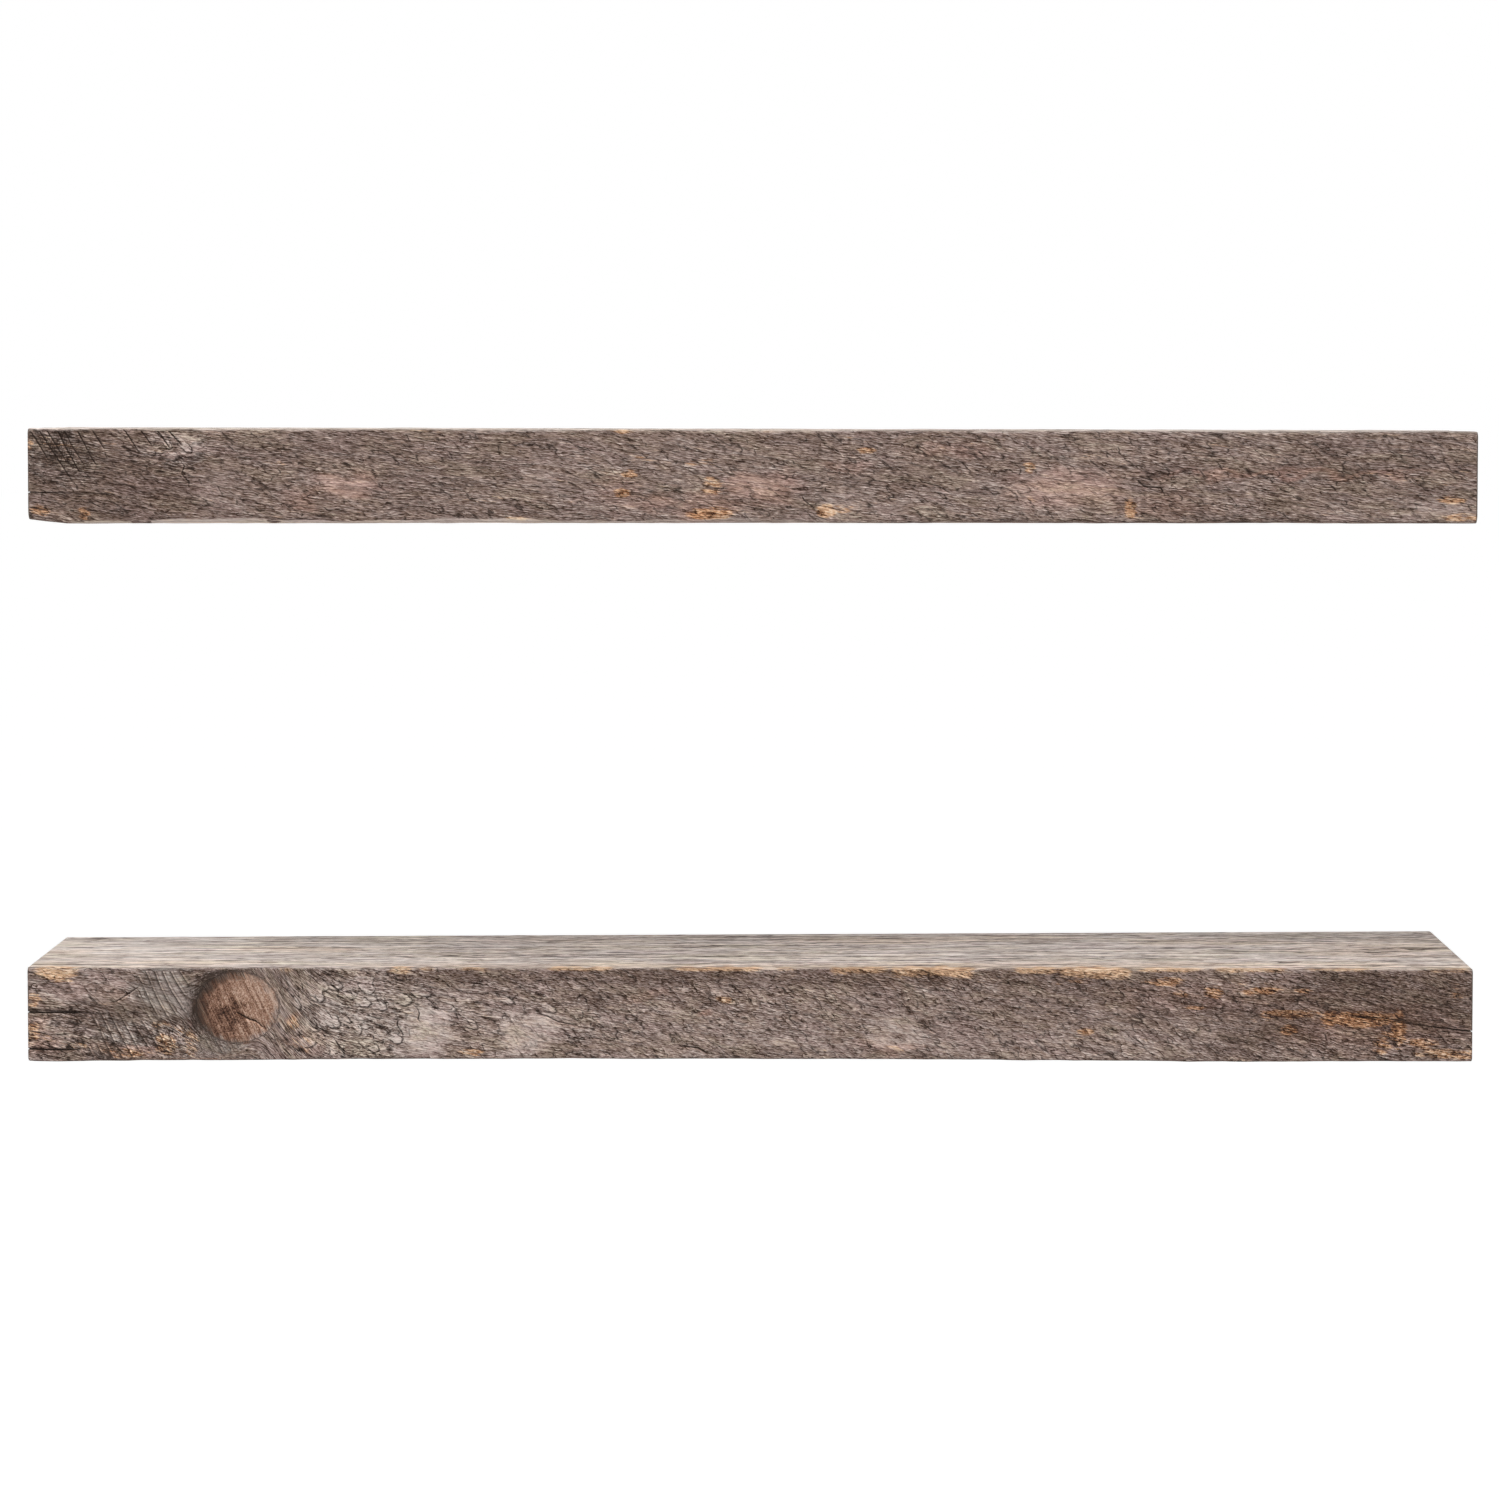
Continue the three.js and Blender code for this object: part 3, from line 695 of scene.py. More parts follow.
def slopes(board, share, y, z, depth):
    """How far a point is moved along x and z by the board's skew, wind, taper, crown and wane."""
    back_share = 1 + y / depth
    height_share = 0.5 + z / board["thickness"]
    wane_height, wane_run = board["wane"]
    wane = wane_height * max(0.0, 1 - share * board["length"] / wane_run)
    crown = board["crown"]
    foot = wane + crown["height"] * max(0.0, 1 - ((share - crown["place"]) / crown["reach"]) ** 2)
    head = board["taper"] * (0.5 - share)
    left, right = board["skew"]
    return (
        lerp(-left, right, share) * back_share,
        lerp(foot, head, height_share) + back_share * lerp(*board["wind"], share),
    )


def worn_place(board, y, z, share, inset, depth):
    """A point of the square-cornered section moved on to the worn one, and its outward direction."""
    half = board["thickness"] / 2
    is_front, is_top = y < -depth / 2, z > 0
    radius = max(corner_radius(board, is_front, is_top, share) - inset / 2, SHARPEST)
    y = -depth / 2 + (y + depth / 2) * (depth - 2 * inset) / depth
    z = z * (half - inset) / half
    y_side, z_side = (-1 if is_front else 1), (1 if is_top else -1)
    y_centre = -depth / 2 + y_side * (depth / 2 - inset - radius)
    z_centre = z_side * (half - inset - radius)
    past_y, past_z = (y - y_centre) * y_side, (z - z_centre) * z_side
    if past_y > 0 and past_z > 0:
        out = Vector((0, past_y * y_side, past_z * z_side)).normalized()
        return y_centre + out.y * radius, z_centre + out.z * radius, out
    if past_y >= past_z:
        return y, z, Vector((0, y_side, 0))
    return y, z, Vector((0, 0, z_side))


print("lower front top arris, radii in millimetres:",
      [round(corner_radius(LOWER, True, True, step / 4), 1) for step in range(5)])

# %% [markdown]
# ## Reading the marks
#
# Everything that shapes or colours the skin is read from the lists through these small functions: how deep
# in a patch a point is, how near it is to a crack or a saw mark, and how the grain runs round the knot. A
# distance is smooth from point to point where a thin dark line is not. So the skin carries distances, and
# the material draws the thin line from them, as crisply as the render needs.

# %% Patches and worn stretches
FAR = 3.0  # a distance, in millimetres, past which a mark has no effect
PATCH_CORE = 0.1  # a patch is full up to here and gone past its rim, by the square of the distance in radii
PATCH_RIM = 2.6
ARRIS_DOWN = 5  # how far down the front and back on the top arris wear is looked for, in millimetres
ARRIS_BACK = 20


def patch_strength(patches, x, z):
    """The strongest of the patches here: its strength in its middle, falling to 0 at its rim and beyond."""
    best = 0.0
    for px, pz, half_length, half_height, strength in patches:
        dx, dz = (x - px) / half_length, (z - pz) / half_height
        near = dx * dx + dz * dz
        if near < PATCH_RIM:
            here = strength * (1 - rise(PATCH_CORE, PATCH_RIM, near))
            best = here if abs(here) > abs(best) else best
    return best


def arris_wear(board, x, y, z):
    """How worn to tan wood the front top arris is here."""
    down, back = board["thickness"] / 2 - z, y + board["depth"]
    if down > ARRIS_DOWN or back > ARRIS_BACK:
        return 0.0
    best = 0.0
    for start, end, height, reach, strength in board["worn_arris"]:
        if start - 4 < x < end + 4:
            along = rise(start - 4, start + 4, x) * (1 - rise(end - 4, end + 4, x))
            reach_here = reach * max(0.65 + 0.9 * wander(x / 6, start, board["seed"]), 0.15)
            near = (1 - rise(0.5, 1.7, down / height)) * (1 - rise(0.1, 1.3, back / reach_here))
            best = max(best, strength * along * near)
    return best


print("the lower board's patches:", {kind: len(LOWER[kind]) for kind in ("bare", "pale", "dark", "warm")})

# %% Cracks and saw marks
EDGE_X, EDGE_Z = 300, 17  # a crack that starts or ends past these runs out at the board's edge


def distance_to_line(x, z, start, end):
    """How far a point is above a stretch of line, or below if negative, and its share of the way along."""
    dx, dz = end[0] - start[0], end[1] - start[1]
    share = ((x - start[0]) * dx + (z - start[1]) * dz) / (dx * dx + dz * dz)
    share = min(max(share, 0.0), 1.0)
    side = math.copysign(1, dx * (z - start[1]) - dz * (x - start[0]))
    return side * math.hypot(x - start[0] - share * dx, z - start[1] - share * dz), share


def nearest_split(board, x, z):
    """The distance to the nearest listed crack, its half width here, and its depth where it is widest."""
    nearest, half_width, depth = FAR, 0.0, 0.0
    for points, width, deep in board["splits"]:
        low, high = min(points[0][0], points[-1][0]), max(points[0][0], points[-1][0])
        if not low - 2 < x < high + 2:
            continue
        for index, (start, end) in enumerate(zip(points, points[1:])):
            away, share = distance_to_line(x, z, start, end)
            if abs(away) < abs(nearest):
                at_share = (index + share) / (len(points) - 1)
                at_edge = abs(points[0][0]) > EDGE_X or points[0][1] > EDGE_Z
                head = 1.0 if at_edge else rise(0.0, 0.25, at_share)
                tail = 1.0 if abs(points[-1][0]) > EDGE_X else 1 - rise(0.5, 1.0, at_share)
                nearest, half_width, depth = away, width * min(head, tail), deep
    return nearest, half_width, depth


def saw_place(board, x, z):
    """How many saw marks along a point is, and how strongly they show there."""
    saw = board["saw"]
    strength = patch_strength(saw["patches"], x, z)
    run, drop = saw["direction"]
    waver = 0.35 * wander(x / 13, z / 24, board["seed"])
    return (-x * drop + z * run) / saw["step"] + waver, strength


print(len(LOWER["splits"]) + len(UPPER["splits"]), "cracks to read")

# %% Grain that runs round the knot
FALL = 1.1  # how steeply the grain drops beside the knot's right side
FALL_REACH = 17.0
BELL_SHARE = 0.886  # half the square root of pi: what erf is multiplied by to give the sum under a bell curve
NO_KNOT = 9.0  # how many knot radii away the knot is taken to be where there is none


def knot_place(board, x, z):
    """A point's x and z from the knot's middle in knot radii, and how far that is."""
    knot = board["knot"]
    if not knot:
        return NO_KNOT, NO_KNOT, NO_KNOT
    dx, dz = (x - knot["x"]) / knot["half_length"], (z - knot["z"]) / knot["half_height"]
    return dx, dz, min(math.hypot(dx, dz), NO_KNOT)


def grain_place(board, x, y, z):
    """Where a point is in the grain: along the fibres, across them, and into the board, in millimetres.

    Far from the knot the fibres only waver and drop a little to the right. Near it they part and flow round
    it, as water flows round a stone, and inside it they turn steeply down.
    """
    seed = board["seed"]
    wave = 2.0 * wander(x / 62, y / 60, z / 24 + seed)
    wave += 0.7 * wander(x / 15, y / 30, z / 8 - seed)
    knot = board["knot"]
    if not knot:
        return x, z + wave + board["lean"] * x, y
    dx, dz, away = knot_place(board, x, z)
    lean = board["lean"] * knot["x"]
    if away < 1:
        return 8 * dz + 3 * dx + x * 0.1, lean + 19 * (dx * 0.93 + dz * 0.36), y
    bend = (1 - 0.75 * rise(-0.6, 0.8, dx)) * (1 - rise(3, 6, away)) / (away * away)
    x_flow = knot["x"] + dx * knot["half_length"] * (1 + bend)
    z_flow = knot["z"] + dz * knot["half_height"] * (1 - bend)
    past = (x - knot["x"] - knot["half_length"]) / FALL_REACH
    fall = FALL * FALL_REACH * BELL_SHARE * (math.erf(past) + 1) + board["lean"] * (x - knot["x"])
    return x_flow, z_flow + lean + fall + wave, y


print("in the grain, the knot's right rim is at",
      [round(value, 1) for value in grain_place(LOWER, -198, -139.7, 2.8)])

# %% [markdown]
# ## The relief of the weathered faces
#
# Rain and sun eat the soft early wood between the rings and leave the hard late wood standing in ridges,
# and the fibres lift into flakes and scales. The relief adds up a few layers, from wide hollows to single
# scales. It only ever goes into the board, so the skin stays inside the frame's size. The front is the
# roughest face, the top is worn smoother by use, and the back and the underside are plainer. Each layer
# also says what the material should know about it.

# %% Ridges, flakes and scales
noise.seed_set(11)  # without a seed, noise_vector is shifted by offsets that are drawn anew in each run
HOLLOW = 0.25  # each layer's depth in millimetres
RIDGE = 0.34
FLAKE = 0.45
SCALE = 0.6
CHECK = 0.5
PATCH_BEND = 9.0  # how far, at most, a pale patch's rim strays from an ellipse, in millimetres


def fibre_ridges(along, across, into, seed):
    """0 on a ridge and 1 in the hollow between two. Ridges run far along and are close together across."""
    broad = noise.fractal(Vector((along / 22, across / 2.8, into / 2.8 + seed)), 0.9, 2.1, 2)
    fine = wander(along / 7, across / 1.3, into / 1.3 - seed)
    return min(max(0.5 - 0.7 * broad - 0.35 * fine, 0.0), 1.0)


def flake_at(along, across, seed, long_size, high_size):
    """A field of tilted flakes: the depth here, the distance to the flake's rim, and its own level."""
    lean = along + 1.1 * across
    bend = noise.noise_vector(Vector((along / 7, across / 3.5, seed))) * 0.4
    where = Vector((lean / long_size, across / high_size, seed)) + bend
    distances, points = noise.voronoi(where)
    level = noise.cell(points[0] * 7.3)
    tilt = (where.x - points[0].x) * 0.5 - (where.y - points[0].y) * 0.9
    rim = (distances[1] - distances[0]) * high_size * 0.8
    return 0.35 * level - 0.5 * tilt, rim, level


def scale_at(board, x, z):
    """The listed scales: how far one stands up here, the distance outside its rim, and how near its tip."""
    stand, outside, tip = 0.0, FAR, 0.0
    for sx, sz, half_length, half_width, droop in board["scales"]:
        dx, dz = x - sx, z - sz
        if abs(dx) > 9 or abs(dz) > 9:
            continue
        turn = math.radians(droop)
        along = (dx * math.cos(turn) - dz * math.sin(turn)) / half_length
        across = (dx * math.sin(turn) + dz * math.cos(turn)) / half_width
        ragged_rim = 0.3 * wander(x / 3.2, z / 3.2, sx)
        ragged_rim += 0.2 * wander(x / 1.3, z / 1.3, sx)
        out = math.hypot(along, across) * (1 + ragged_rim)
        stand = max(stand, (1 - rise(0.88, 1.04, out)) * (0.45 + 0.55 * max(along, -0.6)))
        here = (out - 1) * min(half_length, half_width)
        if here < outside:
            outside, tip = here, rise(-0.8, 0.4, along / max(out, 0.05))
    return stand, outside, tip


print(len(LOWER["scales"]) + len(UPPER["scales"]), "lifted scales")

# %% The front
PLAIN_MARKS = {
    "grain": (0.0, 0.0, 0.0),
    "knot": (NO_KNOT, NO_KNOT, 0.0),
    "wear": (0.0, 0.0, 0.0, 0.0),  # bare, pale, dark, arris
    "lines": (FAR, 0.0, 0.0, 0.0),  # distance to a crack, its half width, saw mark number, saw mark strength
    "flakes": (FAR, 0.5, 0.0, 0.0),  # distance to a rim, the flake's level, how flaky, how deep in a cleft
    "scales": (FAR, 0.0, 0.0),  # distance outside a scale's rim, how near its free tip
    "face": (0.0, 0.0, 0.0, 0.0),  # front, top, end, how warm
}


def knot_relief(dx, dz, away, x, z, ridge, seed):
    """The depth in the knot, where rings and grit stand in it, and the depth of the moat round it."""
    rings = 0.5 + 0.5 * math.sin(away * 19 + 2.5 * wander(dx * 3, dz * 3, seed))
    grit = 0.5 + 0.5 * wander(x / 1.2, z / 1.2, seed)
    moat = math.exp(-(((away - 1.0) / 0.07) ** 2)) * (0.15 - 0.5 * dx + 0.25 * dz)
    return 0.08 + 0.12 * rings + 0.3 * grit + 0.25 * ridge, 0.5 * max(moat, 0.0)


def front_skin(board, x, y, z):
    """How far the front is worn in at a point, and its marks."""
    seed = board["seed"]
    along, across, into = grain_place(board, x, y, z)
    bare = patch_strength(board["bare"], x, z)
    bent_x = x + PATCH_BEND * wander(x / 13, z / 7, seed + 2)
    bent_z = z + 0.5 * PATCH_BEND * wander(x / 11, z / 5, seed - 2)
    pale = patch_strength(board["pale"], bent_x, bent_z)
    dark = patch_strength(board["dark"], x, z)
    dx, dz, away = knot_place(board, x, z)
    inside = 1 - rise(0.84, 1.1, away)
    flaking = patch_strength(board["flaking"], x, z) * (1 - 0.5 * pale) * (1 - inside)
    flaking *= 1 - 0.7 * rise(1.5, 1.1, away) if away < 1.5 else 1.0

    hollow = 0.5 + 0.5 * wander(x / 42, z / 17, seed)
    ridge = fibre_ridges(along, across, into, seed)
    depth = HOLLOW * hollow + RIDGE * board["roughness"] * ridge * (1 - 0.65 * flaking)
    rim, level = FAR, 0.5
    if flaking > 0.05:
        flake, rim, level = flake_at(along, across, seed, 8.0, 3.4)
        depth += flaking * FLAKE * max(0.5 + flake, 0.0)
        rim += 1.2 * (1 - rise(0.0, 0.5, flaking))
    stand, outside, tip = scale_at(board, x, z)
    under_lip = rise(-0.1, 0.2, outside) * (1 - rise(0.3, 1.0, outside)) * tip
    depth += SCALE * (flaking * 0.6 - stand) + 0.35 * under_lip
    if outside < 0.8:
        rim, level = FAR, 0.85 if outside < 0 else 0.4

    if away < 1.6:
        sunk, moat = knot_relief(dx, dz, away, x, z, ridge, seed)
        depth = lerp(depth, sunk, inside) + moat
    mark_number, saw = saw_place(board, x, z)
    saw *= 1 - inside
    to_mark = abs(mark_number - round(mark_number)) * board["saw"]["step"]
    depth += board["saw"]["depth"] * saw * (1 - rise(0.15, 0.8, to_mark))
    to_split, half_width, split_depth = nearest_split(board, x, z)
    if half_width > 0.02:
        depth += split_depth * (1 - rise(half_width, half_width + 0.5, abs(to_split)))
    torn = bare * (0.5 + wander(x / 3.1, z / 1.6, seed + 5))
    depth += 0.3 * max(torn, 0.0)
    smooth = max(0.7 * flaking, 1 - board["roughness"])
    marks = {
        "grain": (along * board["grain_squeeze"], across, into),
        "knot": (dx, dz, 0.0),
        "wear": (bare, pale, dark, arris_wear(board, x, y, z)),
        "lines": (max(min(to_split, FAR), -FAR), half_width, mark_number, saw),
        "flakes": (min(rim, FAR), level, flaking, lerp(ridge, 0.45, smooth)),
        "scales": (outside, tip, 0.0),
        "face": (board["roughness"], 0.0, 0.0, patch_strength(board["warm"], bent_x, bent_z)),
    }
    return max(depth, 0.0), marks


print("front worn in by", round(front_skin(LOWER, 0, -139.7, 0)[0], 2), "mm in its middle")

# %% The top, the back and the underside
TOP_SQUEEZE = 0.20  # how much closer the top's grain is read across than it lies, which spreads it out
PITH = (-82, -64)  # y and z of the middle of the growth rings, below the boards, in millimetres


def top_skin(board, x, y, z):
    """The top's relief. Seen at a low angle, only ridges that are wide apart can be told from each other."""
    seed = board["seed"] + 3
    drift = 3 * wander(x / 80, y / 40, seed)
    across = (y + drift) * TOP_SQUEEZE
    ridge = fibre_ridges(x, across, 0.0, seed)
    hollow = 0.5 + 0.5 * wander(x / 60, y / 28, seed)
    check = wander(x / 20, y / 2.2, seed + 9)
    check = rise(0.42, 0.6, check) * rise(0.0, 0.3, wander(x / 60, y / 25, seed - 4))
    check = max(check, patch_strength(board["top_checks"], x, y))
    tanned = patch_strength(board["tanned"], x, y)
    marks = {
        **PLAIN_MARKS,
        "grain": (0.34 * x + seed * 9, 0.45 * (y + drift), z * 0.4),
        # the dark share is painted shade in the checks, over an even darkening of the whole top
        "wear": (0.0, 0.42 * rise(-90, -240, x), 2.0 * check + 0.22, arris_wear(board, x, y, z)),
        "flakes": (FAR, 0.5, 0.0, max(check, 0.6 * ridge)),
        "face": (0.0, 1.0, 0.0, tanned),
    }
    return 0.16 * hollow + 0.26 * ridge + CHECK * check, marks


def plain_skin(board, x, y, z):
    seed = board["seed"] - 7
    across = z if abs(y) < 2 else y
    across += 2 * wander(x / 70, across / 20, seed)
    ridge = fibre_ridges(x, across, 0.0, seed)
    marks = {
        **PLAIN_MARKS,
        "grain": (0.3 * x + seed * 5, 0.7 * across, 0.3 * z),
        "flakes": (FAR, 0.5, 0.0, ridge),
    }
    return 0.12 + 0.24 * ridge, marks


def end_skin(board, x, y, z):
    """End grain: growth rings stand in arcs round a pith below the board, with small checks across them."""
    seed = board["seed"]
    away_y, away_z = y - PITH[0], z - PITH[1]
    from_pith = math.hypot(away_y, away_z)
    round_pith = math.atan2(away_y, away_z) * 60
    ring = 0.5 + 0.5 * math.sin(from_pith * 1.9 + wander(y / 9, z / 9, seed))
    check = rise(0.4, 0.65, wander(round_pith / 4, from_pith / 30, seed))
    marks = {
        **PLAIN_MARKS,
        "grain": (round_pith * 0.5, from_pith * 0.9, x),
        "flakes": (FAR, 0.5, 0.0, max(check, 0.5 * ring)),
        "face": (0.0, 0.0, 1.0, 0.0),
    }
    return 0.1 + 0.16 * ring + 0.3 * check, marks


print("top worn in by", round(top_skin(LOWER, 0, -70, 20)[0], 2), "mm in its middle")

# %% Blend the faces into one skin
LEAST_SHARE = 0.02  # a face with a smaller share than this in a point's direction is left out


def blend_marks(parts):
    """The marks of several faces, each with its weight, as one."""
    total = sum(weight for weight, _ in parts)
    main = max(parts, key=lambda part: part[0])[1]
    blended = {"grain": main["grain"]}  # a place in the grain can't be shared between two faces
    for name in PLAIN_MARKS:
        if name in blended:
            continue
        columns = zip(*(marks[name] for _, marks in parts))
        weights = [weight / total for weight, _ in parts]
        blended[name] = tuple(sum(w * v for w, v in zip(weights, column)) for column in columns)
    return blended


def skin_at(board, x, y, z, out):
    """How far the skin is worn in where it faces the way of out, and its marks."""
    if abs(out.x) > 0.7:
        return end_skin(board, x, y, z)
    size = math.hypot(out.y, out.z)
    front, top = max(-out.y / size, 0.0) ** 2, max(out.z / size, 0.0) ** 2
    plain = 1 - front - top
    skins = ((front, front_skin), (top, top_skin), (plain, plain_skin))
    parts = [(share, *skin(board, x, y, z)) for share, skin in skins if share > LEAST_SHARE]
    if len(parts) == 1:
        return parts[0][1], parts[0][2]
    total = sum(part[0] for part in parts)
    pull = sum(part[0] * part[1] for part in parts) / total
    marks = blend_marks([(part[0], part[2]) for part in parts])
    # The upper board's front lower arris gets a painted highlight, laid into the pale share: it faces down,
    # away from the lamp above.
    if board["pale_foot"] and out.y < -0.1 and out.z < 0:
        bare, pale, dark, arris = marks["wear"]
        foot = board["pale_foot"] * rise(0.25, 0.5, -out.z) * rise(-300, -272, x) * (1 - rise(-130, 120, x))
        marks["wear"] = (bare, max(pale, foot), dark, arris)
    return pull, marks


print("front top arris worn in by", round(skin_at(LOWER, 0, -139, 20, Vector((0, -1, 1)))[0], 2), "mm")

# %% [markdown]
# ## Building a board
#
# The sheet is rolled, closed and worn, and each of its points keeps its marks as attributes. Then it is
# cut by the frame's own board, which has the channel for the bracket bar, the bores for the rods and the
# end splits in it: what both solids share is the weathered board with true machined hollows. A manifold
# cut is quick on a mesh of this size, and it carries the attributes over.

# %% Wear the sheet
SKIN_INSET = 0.03  # the whole skin lies this far inside the frame's board, in millimetres
BACK_RELIEF = 0.3  # the share of the relief that the back keeps, where it lies against the wall
CAP_SHARE = 0.999  # a point at the very end is on the end grain if it is nearer the middle than this


def mark_layers(layers):
    """One layer for each mark, three numbers wide or four, and one that says which points the sheet had."""
    made = {}
    for name, value in PLAIN_MARKS.items():
        kind = layers.float_vector if len(value) == 3 else layers.float_color
        made[name] = kind.new(name)
    return made, layers.float.new("from_sheet")


def wear_board(bm, board, depth):
    """Move every point of the sheet on to the worn board and into its relief, and keep its marks."""
    length, ease = board["length"], board["end_ease"]
    layers, from_sheet = mark_layers(bm.verts.layers)
    for vert in bm.verts:
        x, y, z = vert.co
        share = x / length + 0.5
        from_end = length / 2 - abs(x)
        inset = ease * (1 - math.sqrt(max(0.0, 1 - (1 - min(from_end / ease, 1)) ** 2)))
        new_y, new_z, out = worn_place(board, y, z, share, inset, depth)
        from_middle = max(abs(y + depth / 2) * 2 / depth, abs(z) * 2 / board["thickness"])
        is_cap = from_end < 0.001 and from_middle < CAP_SHARE
        if is_cap:
            out = Vector((math.copysign(1, x), 0, 0))
        pull, marks = skin_at(board, x, new_y, new_z, out)
        if not is_cap:
            pull *= BACK_RELIEF if new_y > -1 else rise(-0.4, 1.2, from_end)
        slope_x, slope_z = slopes(board, share, new_y, new_z, depth)
        vert.co = Vector((x + slope_x, new_y, new_z + slope_z)) - out * (pull + SKIN_INSET)
        vert[from_sheet] = 1.0
        for name, layer in layers.items():
            vert[layer] = marks[name]


print("each point keeps", len(PLAIN_MARKS), "marks")

# %% Cut it with the frame's board


def frame_solid(node):
    """A copy of a frame piece as one closed solid, with its loose triangles merged."""
    bm = bmesh.new()
    bm.from_mesh(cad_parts[node].data)
    bmesh.ops.remove_doubles(bm, verts=bm.verts, dist=0.000001)
    return add_object("cutter", mesh_of(bm, "cutter"))


def keep_shared(piece, solid):
    """Keep only what the piece shares with the solid, and apply that."""
    cut = piece.modifiers.new("cut", "BOOLEAN")
    cut.operation = "INTERSECT"
    cut.solver = "MANIFOLD"
    cut.object = solid
    bpy.context.view_layer.update()
    shared = bpy.data.meshes.new_from_object(piece.evaluated_get(bpy.context.evaluated_depsgraph_get()))
    piece.modifiers.clear()
    old = piece.data
    piece.data = shared
    bpy.data.meshes.remove(old)
    bpy.data.objects.remove(solid)


def build_board(board):
    low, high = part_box(board["node"])
    depth = (high.y - low.y) / MM
    bm = roll_sheet(board, depth)
    close_ends(bm, depth, board["thickness"])
    wear_board(bm, board, depth)
    bmesh.ops.translate(bm, verts=bm.verts, vec=(board["side_shift"], 0, board["height"]))
    bmesh.ops.scale(bm, verts=bm.verts, vec=(MM, MM, MM))
    bmesh.ops.recalc_face_normals(bm, faces=bm.faces)
    bmesh.ops.triangulate(bm, faces=[face for face in bm.faces if len(face.verts) > 4])
    name = board["body"] + "_weathered_board"
    piece = add_object(name, mesh_of(bm, name))
    keep_shared(piece, frame_solid(board["node"]))
    piece.data.name = piece.name
    return piece


boards = {}
for board in (LOWER, UPPER):
    piece = build_board(board)
    boards[board["node"]] = (piece, board)
    piece.data.calc_loop_triangles()
    print(piece.name, len(piece.data.loop_triangles), "triangles")

# %% [markdown]
# ## Marking what the cut has added
#
# The cut adds points of its own along the channel, the bores and the splits. Each of these gets the marks
# of the place where it lies, so that no colour breaks off at a cut edge.

# %% Mark the new points


def board_place(board, co, depth):
    """A point's place on the straight board, in millimetres, from its place in metres."""
    x, y, z = co.x / MM - board["side_shift"], co.y / MM, co.z / MM - board["height"]
    share = min(max(x / board["length"] + 0.5, 0.0), 1.0)
    slope_x, slope_z = slopes(board, share, y, z, depth)
    return x - slope_x, y, z - slope_z


def depth_below_faces(board, x, y, z, depth):
    """How far a point is below the nearest outer face, and which way that face looks."""
    half = board["thickness"] / 2
    faces = (
        (y + depth, (0, -1, 0)),
        (half - z, (0, 0, 1)),
        (-y, (0, 1, 0)),
        (z + half, (0, 0, -1)),
        (board["length"] / 2 - abs(x), (math.copysign(1, x), 0, 0)),
    )
    below, out = min(faces)
    return below, Vector(out)


def mark_new_points(piece, board):
    mesh = piece.data
    depth = -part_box(board["node"])[0].y / MM
    from_sheet = mesh.attributes["from_sheet"].data
    added = 0
    for index, vert in enumerate(mesh.vertices):
        if from_sheet[index].value > 0.99:
            continue
        x, y, z = board_place(board, vert.co, depth)
        _, out = depth_below_faces(board, x, y, z, depth)
        _, marks = skin_at(board, x, y, z, out)
        for name, value in marks.items():
            item = mesh.attributes[name].data[index]
            if len(value) == 3:
                item.vector = value
            else:
                item.color = value
        added += 1
    mesh.attributes.remove(mesh.attributes["from_sheet"])
    return added


for piece, board in boards.values():
    print(piece.name, "had", mark_new_points(piece, board), "points marked after the cut")

# %% [markdown]
# ## The weathered timber
#
# Weathered softwood is grey on top, where light bleaches it, and browner on its edges. Up close its colour
# is made of fibres: pale ridges and dark hollows, long and thin, broken by slanting cracks. Shade is painted
# into the colour in the hollows, the cracks and under the lips of fibres and scales, and highlights are
# painted on lips and edges that face the lamp above. The same stretched noise drives the colour and the bump,
# so that light and colour agree. Three node groups hold what is used many times over.

# %% Node group: fibres


def new_group(name, inputs, outputs):
    """An empty shader group. An input is a place where its value is None, and a number where it has one."""
    group = bpy.data.node_groups.new(name, "ShaderNodeTree")
    for label, value in inputs.items():
        kind = "NodeSocketVector" if value is None else "NodeSocketFloat"
        socket = group.interface.new_socket(label, in_out="INPUT", socket_type=kind)
        if value is not None:
            socket.default_value = value
    for label in outputs:
        group.interface.new_socket(label, in_out="OUTPUT", socket_type="NodeSocketFloat")
    given = group.nodes.new("NodeGroupInput").outputs
    return group, [Value(group, given[label]) for label in inputs]


def close_group(group, *results):
    made = group.nodes.new("NodeGroupOutput")
    for index, value in enumerate(results):
        group.links.new(value.socket, made.inputs[index])
    return group


def use_group(group, place, values):
    """The outputs of a group at a place, with the values for its other inputs in their order."""
    node = place.tree.nodes.new("ShaderNodeGroup")
    node.node_tree = group
    place.tree.links.new(place.socket, node.inputs[0])
    for index, value in enumerate(values):
        node.inputs[index + 1].default_value = value
    return [Value(place.tree, output) for output in node.outputs]


def stretch(value, gain):
    """Noise keeps close to 0.5. This spreads it out to both sides by a gain."""
    return sway(0.5, (value, 0.5, gain))


def fibre_group():
    """Fibres: 1 on a pale ridge and 0 in a dark hollow. They waver, and hairs lie over broader bundles."""
    inputs = {"Place": None, "Length": 16.0, "Height": 1.4, "Contrast": 3.0}
    group, (place, length, height, contrast) = new_group("fibres", inputs, ["Level"])
    scaled = vector_maths("DIVIDE", place, place_of(length, height, height))
    curl = noise_at(scaled, 0.45, 2.0, output="Color")
    bent = vector_maths("MULTIPLY_ADD", curl, (0.5, 1.6, 1.6), scaled)
    return close_group(group, stretch(noise_at(bent, 1.0, 3.0, 0.6), contrast))


FIBRES = fibre_group()


def fibres(place, length, height, contrast):
    return use_group(FIBRES, place, (length, height, contrast))[0]


print("group", FIBRES.name)

# %% Node group: cracks


